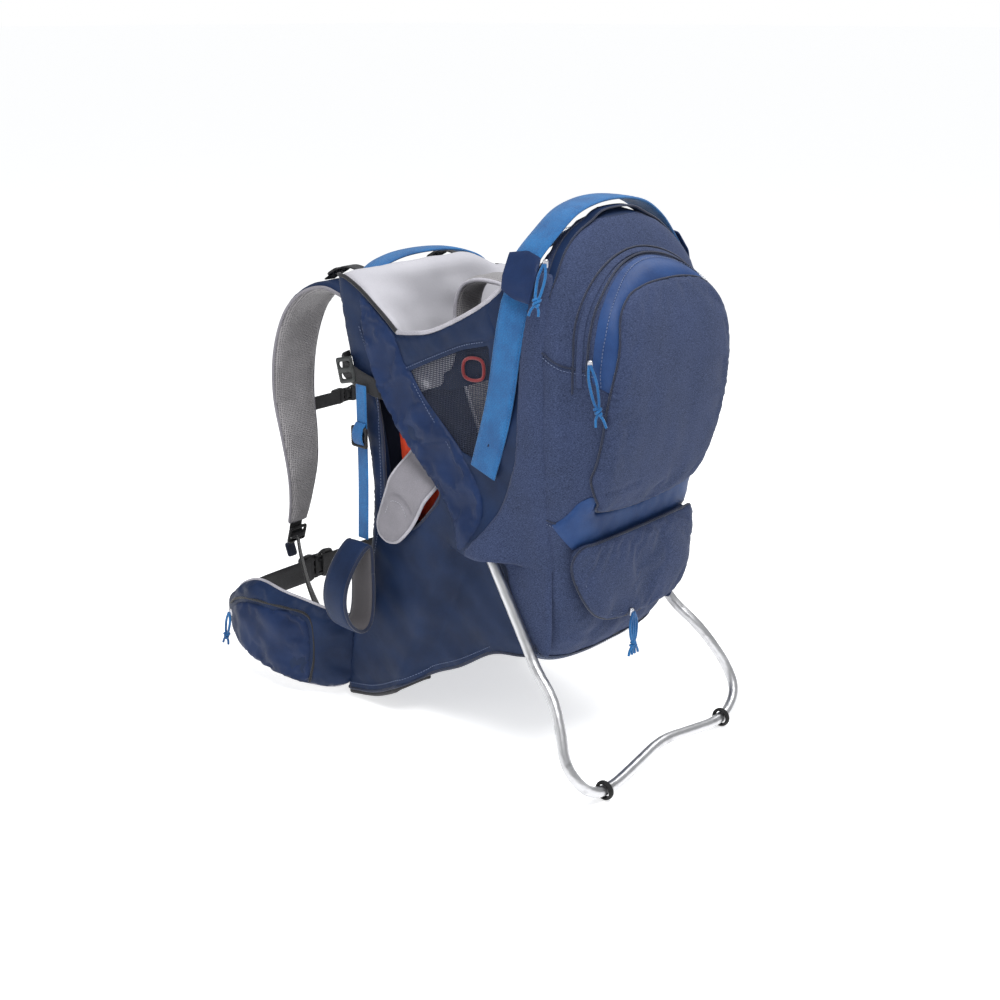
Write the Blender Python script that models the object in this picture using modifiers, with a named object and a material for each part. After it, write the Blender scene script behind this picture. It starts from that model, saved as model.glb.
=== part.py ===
"""A framed child carrier backpack: metal frame, fold-out kickstand, wearer's harness, child seat and storage bag.

The row frame is metres, +Z up, +Y the way the wearer walks, +X the wearer's right.
Its origin is the middle of the flat underside of the base skid, on the floor under the frame's bottom bar.
"""

import math

import bmesh
import bpy
from mathutils import Matrix, Vector

# Driving dimensions, in metres.
GAP = 0.0005                 # clearance between neighbouring pieces
FRAME_TUBE_R = 0.008         # 16 mm aluminium tube
STAND_TUBE_R = 0.0075        # 15 mm aluminium tube
FRAME_HALF_W = 0.139         # front frame, tube centre
FRAME_TOP_Z = 0.575          # front frame, top bar centre
FRAME_BOTTOM_Z = 0.0215      # front frame, bottom bar centre
FRAME_CORNER_R = 0.032
FRAME_BOW = 0.060            # how far the posts bow away from the wearer's back
FRAME_LEAN = 0.020           # rearward lean of the posts per metre of height
BOW_SPAN = 0.62
SKID_TOP_Z = FRAME_BOTTOM_Z - FRAME_TUBE_R - GAP
PIVOT_X, PIVOT_Y, PIVOT_Z = 0.140, -0.2505, 0.290     # kickstand pivot, left and right
PIN_R = 0.004
FOOT_X, FOOT_Y = 0.127, -0.436
FOOT_R = 0.0130
SIDE_X = 0.152               # cockpit side panels
SHEET = 0.003                # a plain stand-in thickness for a fabric panel
STRAP_X = 0.100              # shoulder straps
STRAP_HINGE_Y, STRAP_HINGE_Z = 0.012, 0.567
BELT_Z = 0.072
BELT_WEB_Y = 0.247
STIRRUP_X, STIRRUP_Y = 0.168, -0.055
LEFT, RIGHT = -1, 1


def clear_scene():
    for obj in list(bpy.data.objects):
        bpy.data.objects.remove(obj, do_unlink=True)


clear_scene()
PARTS = bpy.data.collections.new("child_carrier_backpack")
CUTTERS = bpy.data.collections.new("cutters")
for group in (PARTS, CUTTERS):
    bpy.context.scene.collection.children.link(group)


def make_material(name, colour, roughness, metallic=0.0):
    material = bpy.data.materials.new(name)
    material.use_nodes = True
    shader = material.node_tree.nodes["Principled BSDF"]
    shader.inputs["Base Color"].default_value = (*colour, 1.0)
    shader.inputs["Roughness"].default_value = roughness
    shader.inputs["Metallic"].default_value = metallic
    material.diffuse_color = (*colour, 1.0)
    return material


ALUMINIUM = make_material("aluminium", (0.80, 0.80, 0.79), 0.3, 1.0)
STEEL = make_material("steel", (0.55, 0.56, 0.58), 0.35, 1.0)
RUBBER = make_material("black_rubber", (0.03, 0.03, 0.035), 0.8)
PLASTIC = make_material("black_plastic", (0.02, 0.02, 0.022), 0.5)
NAVY = make_material("navy_nylon", (0.035, 0.075, 0.17), 0.7)
HEATHER = make_material("navy_heather", (0.06, 0.075, 0.15), 0.9)
BLUE = make_material("blue_webbing", (0.02, 0.16, 0.42), 0.75)
BLACK_WEB = make_material("black_webbing", (0.015, 0.015, 0.018), 0.85)
GREY_PAD = make_material("grey_mesh_pad", (0.22, 0.21, 0.22), 0.9)
LINING = make_material("grey_lining", (0.55, 0.54, 0.57), 0.9)
RED = make_material("red_button", (0.7, 0.08, 0.05), 0.5)


def front_y(z):
    """The side curve of the front frame: bowed away from the wearer's back between base and top bar."""
    return -FRAME_BOW * math.sin(math.pi * z / BOW_SPAN) ** 2 - FRAME_LEAN * z


def between(stations, z):
    """Straight-line value at z in a list of (z, value) stations."""
    for (z0, v0), (z1, v1) in zip(stations, stations[1:]):
        if z <= z1:
            return v0 + (v1 - v0) * max(0.0, z - z0) / (z1 - z0)
    return stations[-1][1]


def link(name, data, material):
    obj = bpy.data.objects.new(name, data)
    PARTS.objects.link(obj)
    data.materials.append(material)
    return obj


def tube(name, points, radius, material, cyclic=False, smooth=True, steps=3, radii=None):
    """A round bar or tube along the points, as a curve with a bevel and filled caps."""
    curve = bpy.data.curves.new(name, "CURVE")
    curve.dimensions = "3D"
    curve.bevel_depth = radius
    curve.bevel_resolution = 2
    curve.resolution_u = steps
    curve.use_fill_caps = True
    spline = curve.splines.new("BEZIER" if smooth else "POLY")
    if smooth:
        spline.bezier_points.add(len(points) - 1)
        for knot, point in zip(spline.bezier_points, points):
            knot.co = point
            knot.handle_left_type = knot.handle_right_type = "AUTO"
    else:
        spline.points.add(len(points) - 1)
        for index, point in enumerate(points):
            spline.points[index].co = (*point, 1.0)
            spline.points[index].radius = radii[index] if radii else 1.0
    spline.use_cyclic_u = cyclic
    return link(name, curve, material)


PLANES = {
    "YZ": Matrix(((0, 0, 1), (1, 0, 0), (0, 1, 0))).to_euler(),     # sheet width runs along X
    "XZ": Matrix(((1, 0, 0), (0, 0, -1), (0, 1, 0))).to_euler(),    # sheet width runs along Y
    "XY": Matrix(((1, 0, 0), (0, 1, 0), (0, 0, 1))).to_euler(),     # sheet width runs along Z
}


def flat_curve(name, points, plane, centre, half_width, material, cyclic, smooth, steps):
    curve = bpy.data.curves.new(name, "CURVE")
    curve.dimensions = "2D"
    curve.fill_mode = "BOTH" if cyclic == "filled" else "NONE"
    curve.extrude = half_width
    curve.resolution_u = steps
    spline = curve.splines.new("BEZIER" if smooth else "POLY")
    if smooth:
        spline.bezier_points.add(len(points) - 1)
        for knot, point in zip(spline.bezier_points, points):
            knot.co = (*point, 0.0)
            knot.handle_left_type = knot.handle_right_type = "AUTO"
    else:
        spline.points.add(len(points) - 1)
        for knot, point in zip(spline.points, points):
            knot.co = (*point, 0.0, 1.0)
    spline.use_cyclic_u = bool(cyclic)
    obj = link(name, curve, material)
    obj.rotation_euler = PLANES[plane]
    obj.location = {"YZ": (centre, 0, 0), "XZ": (0, centre, 0), "XY": (0, 0, centre)}[plane]
    return obj


def ribbon(name, points, plane, centre, half_width, thickness, material, loop=False, steps=3):
    """A strap or pad: a curve in a plane, widened square to the plane and thickened."""
    obj = flat_curve(name, points, plane, centre, half_width, material, "loop" if loop else False, True, steps)
    solid = obj.modifiers.new("thickness", "SOLIDIFY")
    solid.thickness = thickness
    solid.offset = 0.0
    return obj


def plate(name, outline, plane, centre, half_thickness, material, smooth=False):
    """A flat panel cut to an outline."""
    return flat_curve(name, outline, plane, centre, half_thickness, material, "filled", smooth, 3)


def box(name, centre, size, material, bevel=0.0, collection=PARTS):
    """A block; its scale is applied, so that its bevel keeps its width."""
    mesh = bpy.data.meshes.new(name)
    shape = bmesh.new()
    bmesh.ops.create_cube(shape, size=1.0)
    bmesh.ops.scale(shape, vec=size, verts=shape.verts)
    shape.to_mesh(mesh)
    shape.free()
    obj = bpy.data.objects.new(name, mesh)
    collection.objects.link(obj)
    obj.location = centre
    if material:
        mesh.materials.append(material)
    if bevel:
        edge = obj.modifiers.new("edges", "BEVEL")
        edge.width = bevel
        edge.segments = 2
    return obj


def cylinder_x(name, centre, radius, length, material, collection=PARTS, segments=20):
    mesh = bpy.data.meshes.new(name)
    shape = bmesh.new()
    bmesh.ops.create_cone(shape, cap_ends=True, segments=segments, radius1=radius, radius2=radius, depth=length)
    shape.to_mesh(mesh)
    shape.free()
    obj = bpy.data.objects.new(name, mesh)
    collection.objects.link(obj)
    obj.location = centre
    obj.rotation_euler = (0, math.radians(90), 0)
    if material:
        mesh.materials.append(material)
    return obj


def cut(obj, cutter):
    """Takes a cutter away from a mesh object."""
    cutter.hide_render = True
    cutter.display_type = "WIRE"
    modifier = obj.modifiers.new("cut_" + cutter.name, "BOOLEAN")
    modifier.operation = "DIFFERENCE"
    modifier.object = cutter


def as_mesh(obj):
    """A curve made into a mesh with its caps welded, so that it can be cut."""
    bpy.context.view_layer.update()
    graph = bpy.context.evaluated_depsgraph_get()
    mesh = bpy.data.meshes.new_from_object(obj.evaluated_get(graph))
    shape = bmesh.new()
    shape.from_mesh(mesh)
    bmesh.ops.remove_doubles(shape, verts=shape.verts, dist=1e-5)
    shape.to_mesh(mesh)
    shape.free()
    solid = bpy.data.objects.new(obj.name, mesh)
    solid.matrix_world = obj.matrix_world
    name = obj.name
    bpy.data.objects.remove(obj, do_unlink=True)
    PARTS.objects.link(solid)
    solid.name = name
    return solid


def whole_width(half):
    """Both sides of a symmetric run whose half is listed from the +X end to the middle."""
    return list(half) + [(-x, y, z) for x, y, z in reversed(half[:-1])]


def side_name(stem, side):
    return stem + ("_left" if side == LEFT else "_right")


def loft(name, sections, material, round_steps=6, squareness=4.0):
    """A closed bag through rounded rectangles: sections of (z, half width, front y, rear y)."""
    count = 4 * round_steps
    shape = bmesh.new()
    rings = []
    for z, half_w, y_front, y_rear in sections:
        middle, half_d = (y_front + y_rear) / 2, (y_front - y_rear) / 2
        ring = []
        for index in range(count):
            angle = 2 * math.pi * index / count
            c, s = math.cos(angle), math.sin(angle)
            x = math.copysign(abs(c) ** (2 / squareness), c) * half_w
            y = math.copysign(abs(s) ** (2 / squareness), s) * half_d
            ring.append(shape.verts.new((x, middle + y, z)))
        rings.append(ring)
    for lower, upper in zip(rings, rings[1:]):
        for index in range(count):
            after = (index + 1) % count
            shape.faces.new((lower[index], lower[after], upper[after], upper[index]))
    shape.faces.new(list(reversed(rings[0])))
    shape.faces.new(rings[-1])
    mesh = bpy.data.meshes.new(name)
    shape.to_mesh(mesh)
    shape.free()
    return link(name, mesh, material)


# Frame and kickstand.

def front_frame():
    """One closed loop of tube: two bowed posts, a top bar, and the bottom bar on the skid."""
    points = []
    corners = (
        (FRAME_HALF_W, FRAME_BOTTOM_Z, 1, 1, 270),
        (FRAME_HALF_W, FRAME_TOP_Z, 1, -1, 0),
        (-FRAME_HALF_W, FRAME_TOP_Z, -1, -1, 90),
        (-FRAME_HALF_W, FRAME_BOTTOM_Z, -1, 1, 180),
    )
    for number, (x, z, side, up, start) in enumerate(corners):
        centre_x, centre_z = x - side * FRAME_CORNER_R, z + up * FRAME_CORNER_R
        for step in range(5):
            angle = math.radians(start + 90 * step / 4)
            points.append((centre_x + FRAME_CORNER_R * math.cos(angle), centre_z + FRAME_CORNER_R * math.sin(angle)))
        if number in (0, 2):
            rise = FRAME_TOP_Z - FRAME_BOTTOM_Z - 2 * FRAME_CORNER_R
            for step in range(1, 9):
                points.append((x, centre_z + up * rise * step / 9))
    tube("front_frame", [(x, front_y(z), z) for x, z in points], FRAME_TUBE_R, ALUMINIUM, cyclic=True, smooth=False)


def rear_hoop():
    """The J-shaped hoop that carries the bag: from the base, under the seat, up behind the child."""
    half = [
        (0.139, -0.0190, 0.060),
        (0.131, -0.070, 0.062),
        (0.121, -0.130, 0.082),
        (0.115, -0.190, 0.127),
        (0.114, -0.233, 0.200),
        (0.114, -0.252, 0.285),
        (0.121, -0.268, 0.380),
        (0.128, -0.280, 0.480),
        (0.128, -0.287, 0.585),
        (0.104, -0.290, 0.650),
        (0.050, -0.290, 0.667),
        (0.000, -0.290, 0.668),
    ]
    tube("rear_hoop", whole_width(half), FRAME_TUBE_R, ALUMINIUM)


def base_skid():
    box("base_skid", (0, 0, SKID_TOP_Z / 2), (0.235, 0.026, SKID_TOP_Z), RUBBER, bevel=0.003)


def kickstand():
    """A wavy U of tube: straight past the bag, kicked out and back, then in to the two floor rings."""
    half = [
        (PIVOT_X, -0.2440, 0.3009),
        (PIVOT_X, -0.2720, 0.2540),
        (PIVOT_X, -0.3180, 0.1768),
        (0.1440, -0.3390, 0.1500),
        (0.1520, -0.3720, 0.1240),
        (0.1650, -0.3970, 0.0900),
        (0.1740, -0.4130, 0.0600),
        (0.1680, -0.4280, 0.0370),
        (0.1500, -0.4340, 0.0200),
        (FOOT_X, FOOT_Y, FOOT_R),
        (0.0600, -0.4330, 0.0190),
        (0.0000, -0.4290, 0.0260),
    ]
    stand = as_mesh(tube("stand_tube", whole_width(half), STAND_TUBE_R, ALUMINIUM))
    cut(stand, cylinder_x("pivot_bore", (0, PIVOT_Y, PIVOT_Z), PIN_R + 0.0003, 0.36, None, CUTTERS))
    for side in (LEFT, RIGHT):
        foot_ring(side)
        stand_bracket(side)
        stand_pin(side)
        stand_spring(side)


def foot_ring(side):
    """A fat rubber ring round the tube, which the kickstand stands on."""
    inner = STAND_TUBE_R + 0.0008
    minor = (FOOT_R - inner) / 2
    bpy.ops.mesh.primitive_torus_add(
        major_radius=inner + minor, minor_radius=minor, major_segments=24, minor_segments=8
    )
    ring = bpy.context.object
    ring.name = side_name("foot_ring", side)
    for vert in ring.data.vertices:
        vert.co.z *= 1.9
    for collection in list(ring.users_collection):
        collection.objects.unlink(ring)
    PARTS.objects.link(ring)
    ring.data.materials.append(RUBBER)
    ring.location = (side * FOOT_X, FOOT_Y, FOOT_R)
    ring.rotation_euler = (0, math.radians(90 + side * 3), 0)


def stand_bracket(side):
    """The moulded block on the rear hoop that the kickstand's pin is held in."""
    outer = PIVOT_X - STAND_TUBE_R - 0.001
    inner = 0.1175 + FRAME_TUBE_R + GAP
    box(
        side_name("stand_bracket", side),
        (side * (outer + inner) / 2, PIVOT_Y, PIVOT_Z),
        (outer - inner, 0.028, 0.046),
        PLASTIC,
        bevel=0.002,
    )


def stand_pin(side):
    inner, outer = PIVOT_X - STAND_TUBE_R - 0.0005, PIVOT_X + STAND_TUBE_R + 0.014
    cylinder_x(
        side_name("stand_pin", side), (side * (inner + outer) / 2, PIVOT_Y, PIVOT_Z), PIN_R, outer - inner, STEEL
    )


def stand_spring(side):
    """The coil round the pin that throws the kickstand open."""
    turns, wire, coil, per_turn = 4, 0.0009, 0.0056, 14
    start = PIVOT_X + STAND_TUBE_R + 0.002
    points = []
    for step in range(turns * per_turn + 1):
        angle = 2 * math.pi * step / per_turn
        x = start + 0.0024 * step / per_turn
        points.append((side * x, PIVOT_Y + coil * math.cos(angle), PIVOT_Z + coil * math.sin(angle)))
    tube(side_name("stand_spring", side), points, wire, STEEL, smooth=False)


# The fabric body.

BAG_HALF_W = [(0.130, 0.090), (0.16, 0.116), (0.22, 0.126), (0.30, 0.1285), (0.35, 0.136), (0.40, 0.142),
              (0.50, 0.146), (0.58, 0.143), (0.64, 0.130), (0.675, 0.100), (0.692, 0.060)]
BAG_FRONT = [(0.130, -0.225), (0.22, -0.262), (0.30, -0.277), (0.40, -0.292), (0.50, -0.301), (0.692, -0.309)]
BAG_REAR = [(0.130, -0.325), (0.16, -0.350), (0.22, -0.369), (0.30, -0.373), (0.40, -0.376), (0.50, -0.378),
            (0.58, -0.375), (0.64, -0.362), (0.675, -0.346), (0.692, -0.332)]
BAG_LEVELS = [0.130, 0.16, 0.22, 0.30, 0.35, 0.40, 0.45, 0.50, 0.54, 0.58, 0.61, 0.64, 0.675, 0.692]


def pack_bag():
    sections = [
        (z, between(BAG_HALF_W, z), between(BAG_FRONT, z), between(BAG_REAR, z)) for z in BAG_LEVELS
    ]
    loft("pack_bag", sections, HEATHER)


def front_pocket():
    """The tall zipped pocket on the bag's rear face."""
    depth = [(0.35, 0.014), (0.40, 0.028), (0.54, 0.040), (0.61, 0.030), (0.64, 0.012)]
    half_w = [(0.35, 0.100), (0.40, 0.122), (0.45, 0.130), (0.54, 0.128), (0.61, 0.100), (0.64, 0.070)]
    sections = []
    for z in BAG_LEVELS:
        if depth[0][0] <= z <= depth[-1][0]:
            inner = between(BAG_REAR, z) - GAP
            sections.append((z, between(half_w, z), inner, inner - between(depth, z)))
    loft("front_pocket", sections, HEATHER)


def lower_pocket():
    """The zipped cover of the bottom pocket, sewn along its top edge."""
    path = [(-0.381, 0.324), (-0.390, 0.300), (-0.392, 0.262), (-0.387, 0.232), (-0.379, 0.214)]
    ribbon("lower_pocket", path, "YZ", 0, 0.120, 0.006, HEATHER, steps=2)


def lower_bag():
    """The enclosed space under the child's seat."""
    outline = [(-0.040, 0.062), (-0.085, 0.236), (-0.226, 0.236), (-0.214, 0.190), (-0.182, 0.140), (-0.105, 0.078)]
    plate("lower_bag", outline, "YZ", 0, 0.100, NAVY)


def side_panel(side):
    """The cockpit's side: its front edge bounds the leg opening, its top edge is the padded rim."""
    outline = [
        (-0.058, 0.548), (-0.068, 0.499), (-0.090, 0.451), (-0.116, 0.417), (-0.152, 0.382), (-0.181, 0.349),
        (-0.205, 0.300), (-0.228, 0.330), (-0.252, 0.400), (-0.268, 0.500), (-0.2780, 0.612),
        (-0.272, 0.608), (-0.224, 0.577), (-0.173, 0.553), (-0.112, 0.542),
    ]
    plate(side_name("side_panel", side), outline, "YZ", side * SIDE_X, SHEET / 2, NAVY)


def back_panel():
    """The fabric stretched between the posts."""
    path = [(front_y(z), z) for z in (0.055, 0.15, 0.25, 0.35, 0.45, 0.545)]
    ribbon("back_panel", path, "YZ", 0, 0.121, SHEET, NAVY)


# The wearer's harness.

def lumbar_pad():
    box("lumbar_pad", (0, 0.0185, 0.110), (0.230, 0.022, 0.150), GREY_PAD, bevel=0.008)


def shoulder_yoke():
    """The padded plate that the shoulder straps hang from; it slides to suit the wearer's back."""
    path = [(front_y(z) + 0.014, z) for z in (0.375, 0.43, 0.49, 0.545)]
    ribbon("shoulder_yoke", path, "YZ", 0, 0.118, 0.012, GREY_PAD)


def shoulder_strap(side):
    path = [
        (STRAP_HINGE_Y, STRAP_HINGE_Z), (0.050, 0.574), (0.090, 0.562), (0.122, 0.530), (0.142, 0.480),
        (0.150, 0.420), (0.147, 0.360), (0.143, 0.310), (0.152, 0.260), (0.165, 0.212),
    ]
    ribbon(side_name("shoulder_strap", side), path, "YZ", side * STRAP_X, 0.033, 0.013, GREY_PAD)


def slotted_buckle(name, centre, size, slots, material):
    """A ladder buckle: a block with long slots through it. Each slot is (offset, size) from the block's middle."""
    obj = box(name, centre, size, material, bevel=0.0012)
    for number, (offset, slot) in enumerate(slots):
        place = tuple(c + o for c, o in zip(centre, offset))
        cut(obj, box(f"{name}_slot_{number}", place, slot, None, collection=CUTTERS))
    return obj


def strap_lock(side):
    """The ladder buckle at the foot of a shoulder strap."""
    slots = [((0, 0, 0.005), (0.024, 0.03, 0.004)), ((0, 0, -0.005), (0.024, 0.03, 0.004))]
    slotted_buckle(
        side_name("strap_lock", side), (side * STRAP_X, 0.169, 0.188), (0.032, 0.007, 0.024), slots, PLASTIC
    )


def strap_tail(side):
    """Webbing from the foot of the frame up to the shoulder strap's ladder buckle."""
    path = [(0.006, 0.148), (0.060, 0.164), (0.155, 0.200)]
    ribbon(side_name("strap_tail", side), path, "YZ", side * 0.1445, 0.009, 0.0022, BLACK_WEB, steps=2)


def load_lifter(side):
    """Short webbing from the top of the frame to the crown of a shoulder strap."""
    path = [(0.028, 0.600), (0.048, 0.601), (0.070, 0.592)]
    ribbon(side_name("load_lifter", side), path, "YZ", side * 0.088, 0.009, 0.0022, BLACK_WEB, steps=2)


STERNUM_Z = 0.380
STERNUM_Y = 0.1615


def sternum_straps():
    for side in (LEFT, RIGHT):
        path = [(side * 0.105, STERNUM_Y), (side * 0.060, STERNUM_Y), (side * 0.012, STERNUM_Y)]
        ribbon(side_name("sternum_strap", side), path, "XY", STERNUM_Z, 0.010, 0.002, BLACK_WEB, steps=2)
    side_release("sternum", STERNUM_Y + 0.006, STERNUM_Z, 0.030, 0.008, 0.024, 0.0006)


def side_release(stem, y, z, length, depth, height, play):
    """A side-release buckle: the socket on the right, and the pronged half that slides out to the left."""
    wall = 0.0018
    socket = box(f"{stem}_buckle_socket", (length / 2, y, z), (length, depth, height), PLASTIC, 0.001)
    reach, hollow_d, hollow_h = length * 0.72, depth - 2 * wall, height - 2 * wall
    cut(socket, box(f"{stem}_hollow", (reach / 2 - 0.002, y, z), (reach + 0.004, hollow_d, hollow_h), None,
                    collection=CUTTERS))
    block_w = length * 0.76
    prongs = box(f"{stem}_buckle_prongs", (-GAP - block_w / 2, y, z), (block_w, depth, height), PLASTIC)
    for up in (-1, 0, 1):
        prong = box(
            f"{stem}_prong_{up + 1}",
            (length * 0.26, y, z + up * hollow_h / 3),
            (length * 0.68, hollow_d - 2 * play, hollow_h / 3 - 0.0012),
            None,
            collection=CUTTERS,
        )
        prong.hide_render = True
        prong.display_type = "WIRE"
        modifier = prongs.modifiers.new("prong", "BOOLEAN")
        modifier.operation = "UNION"
        modifier.object = prong


def hip_wing(side):
    path = [(0.157, 0.012), (0.176, 0.045), (0.194, 0.090), (0.200, 0.140), (0.195, 0.185), (0.176, 0.220)]
    path = [(side * x, y) for x, y in path]
    ribbon(side_name("hip_wing", side), path, "XY", BELT_Z, 0.050, 0.014, NAVY)


def belt_webbing(side):
    """Webbing from a wing's tip to the middle, running flat behind the buckle."""
    inner = 0.014
    path = [(0.161, 0.229), (0.130, 0.243), (0.085, BELT_WEB_Y), (inner, BELT_WEB_Y)]
    path = [(side * x, y) for x, y in path]
    ribbon(side_name("belt_webbing", side), path, "XY", BELT_Z + 0.010, 0.019, 0.0024, BLACK_WEB)


def hip_belt():
    for side in (LEFT, RIGHT):
        hip_wing(side)
        belt_webbing(side)
    side_release("belt", BELT_WEB_Y + 0.0085, BELT_Z + 0.010, 0.038, 0.012, 0.046, 0.0016)


# The child's seat and harness.

def seat():
    box("seat_pan", (0, -0.165, 0.254), (0.190, 0.135, 0.014), NAVY, bevel=0.004)
    for side in (LEFT, RIGHT):
        outline = [(-0.100, 0.262), (-0.080, 0.275), (-0.092, 0.325), (-0.120, 0.360), (-0.150, 0.345), (-0.135, 0.285)]
        plate(side_name("seat_wing", side), outline, "YZ", side * 0.134, 0.006, LINING, smooth=True)


def child_back_pad():
    path = [(-0.246, 0.290), (-0.262, 0.400), (-0.275, 0.520), (-0.280, 0.600)]
    ribbon("child_back_pad", path, "YZ", 0, 0.085, 0.012, LINING)


def child_strap(side):
    path = [(-0.232, 0.340), (-0.242, 0.400), (-0.255, 0.500), (-0.262, 0.580)]
    ribbon(side_name("child_strap", side), path, "YZ", side * 0.045, 0.020, 0.009, GREY_PAD, steps=2)


def child_buckle():
    """The harness buckle on the crotch strap, with its press button in a recess."""
    y, z = -0.195, 0.291
    buckle = box("harness_buckle", (0, y, z), (0.042, 0.016, 0.056), PLASTIC, bevel=0.002)
    cut(buckle, box("button_recess", (0, y + 0.008, z), (0.0228, 0.013, 0.0228), None, collection=CUTTERS))
    box("harness_button", (0, y + 0.0065, z), (0.0216, 0.005, 0.0216), RED, bevel=0.001)


def drool_pad():
    """The soft pad over the top bar that the child's face rests on."""
    path = [(-0.036, 0.611), (-0.040, 0.560), (-0.056, 0.500), (-0.074, 0.450)]
    ribbon("drool_pad", path, "YZ", 0, 0.118, 0.013, LINING)


def stirrup(side):
    """A foot loop on webbing, with the ladder buckle that sets its height."""
    loop = [(0.172, 0.252), (0.205, 0.232), (0.236, 0.190), (0.240, 0.158), (0.224, 0.134), (0.200, 0.128),
            (0.178, 0.138), (0.168, 0.165), (0.167, 0.215)]
    loop = [(side * x, z) for x, z in loop]
    ribbon(side_name("stirrup", side), loop, "XZ", STIRRUP_Y, 0.021, 0.005, NAVY, loop=True, steps=2)
    web = [(side * 0.164, 0.418), (side * 0.165, 0.340), (side * STIRRUP_X, 0.262)]
    ribbon(side_name("stirrup_webbing", side), web, "XZ", STIRRUP_Y, 0.010, 0.002, BLUE, steps=2)
    slots = [((0, 0, 0.005), (0.03, 0.022, 0.004)), ((0, 0, -0.005), (0.03, 0.022, 0.004))]
    slotted_buckle(
        side_name("stirrup_lock", side),
        (side * (0.1655 + 0.0055), STIRRUP_Y, 0.398),
        (0.0075, 0.030, 0.026),
        slots,
        PLASTIC,
    )


# Handles and zip pulls.

def handles():
    path = [(-0.104, 0.597), (-0.080, 0.609), (-0.045, 0.6175), (0.0, 0.620), (0.045, 0.6175), (0.080, 0.609),
            (0.104, 0.597)]
    ribbon("front_handle", path, "XZ", -0.010, 0.014, 0.0026, BLUE)
    half = [(0.1560, 0.618), (0.1515, 0.650), (0.133, 0.683), (0.090, 0.706), (0.045, 0.7125), (0.0, 0.7135)]
    path = half + [(-x, z) for x, z in reversed(half[:-1])]
    ribbon("rear_handle", path, "XZ", -0.302, 0.020, 0.0026, BLUE)


def zip_pull(name, top, drop, sway=(0.0, 0.0)):
    """A zip slider with its cord: a thick head, the thin cord, a knot, and the cord's ends."""
    x, y, z = top
    stations = [(0.0, 0.6), (0.03, 2.4), (0.20, 2.4), (0.24, 1.0), (0.70, 1.0), (0.74, 2.3), (0.84, 2.3), (0.88, 1.0),
                (1.0, 1.0)]
    points = [(x + sway[0] * t, y + sway[1] * t, z - drop * t) for t, _ in stations]
    tube(name, points, 0.0015, BLUE, smooth=False, radii=[r for _, r in stations])


def zip_pulls():
    zip_pull("main_zip_pull", (-0.1510, -0.350, 0.655), 0.060)
    zip_pull("pocket_zip_pull", (-0.1400, -0.410, 0.552), 0.085)
    zip_pull("lower_zip_pull", (-0.020, -0.384, 0.203), 0.066)
    zip_pull("belt_zip_pull", (-0.216, 0.175, 0.096), 0.055)


def build():
    front_frame()
    rear_hoop()
    base_skid()
    kickstand()
    pack_bag()
    front_pocket()
    lower_pocket()
    lower_bag()
    back_panel()
    lumbar_pad()
    shoulder_yoke()
    sternum_straps()
    hip_belt()
    seat()
    child_back_pad()
    child_buckle()
    drool_pad()
    handles()
    zip_pulls()
    for side in (LEFT, RIGHT):
        side_panel(side)
        shoulder_strap(side)
        strap_lock(side)
        strap_tail(side)
        load_lifter(side)
        child_strap(side)
        stirrup(side)


build()
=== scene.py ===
"""The looks of a framed child carrier backpack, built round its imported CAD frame."""

import math

import bpy
import numpy as np
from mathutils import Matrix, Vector
from mathutils.geometry import delaunay_2d_cdt


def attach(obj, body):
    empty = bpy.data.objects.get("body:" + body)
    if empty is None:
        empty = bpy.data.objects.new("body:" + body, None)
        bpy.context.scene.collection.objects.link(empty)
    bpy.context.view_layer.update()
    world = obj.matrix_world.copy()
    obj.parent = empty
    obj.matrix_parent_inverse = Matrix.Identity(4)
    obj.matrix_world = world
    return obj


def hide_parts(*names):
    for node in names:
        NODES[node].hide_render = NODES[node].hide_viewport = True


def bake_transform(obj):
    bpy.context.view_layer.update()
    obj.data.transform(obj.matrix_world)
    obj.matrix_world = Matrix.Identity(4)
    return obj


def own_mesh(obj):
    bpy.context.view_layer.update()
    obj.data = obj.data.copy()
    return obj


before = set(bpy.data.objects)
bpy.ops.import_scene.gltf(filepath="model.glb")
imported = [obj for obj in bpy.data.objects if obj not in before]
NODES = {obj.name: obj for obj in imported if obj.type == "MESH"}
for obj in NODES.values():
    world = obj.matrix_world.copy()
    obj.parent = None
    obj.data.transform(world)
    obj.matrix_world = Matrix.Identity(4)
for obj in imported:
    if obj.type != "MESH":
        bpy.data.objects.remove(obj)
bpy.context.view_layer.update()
LEFT, RIGHT = -1, 1


def side_name(stem, side):
    return stem + ("_left" if side == LEFT else "_right")


# Materials.

def linear(r, g, b):
    return tuple((c / 255 / 12.92) if c <= 10 else ((c / 255 + 0.055) / 1.055) ** 2.4 for c in (r, g, b))


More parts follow.
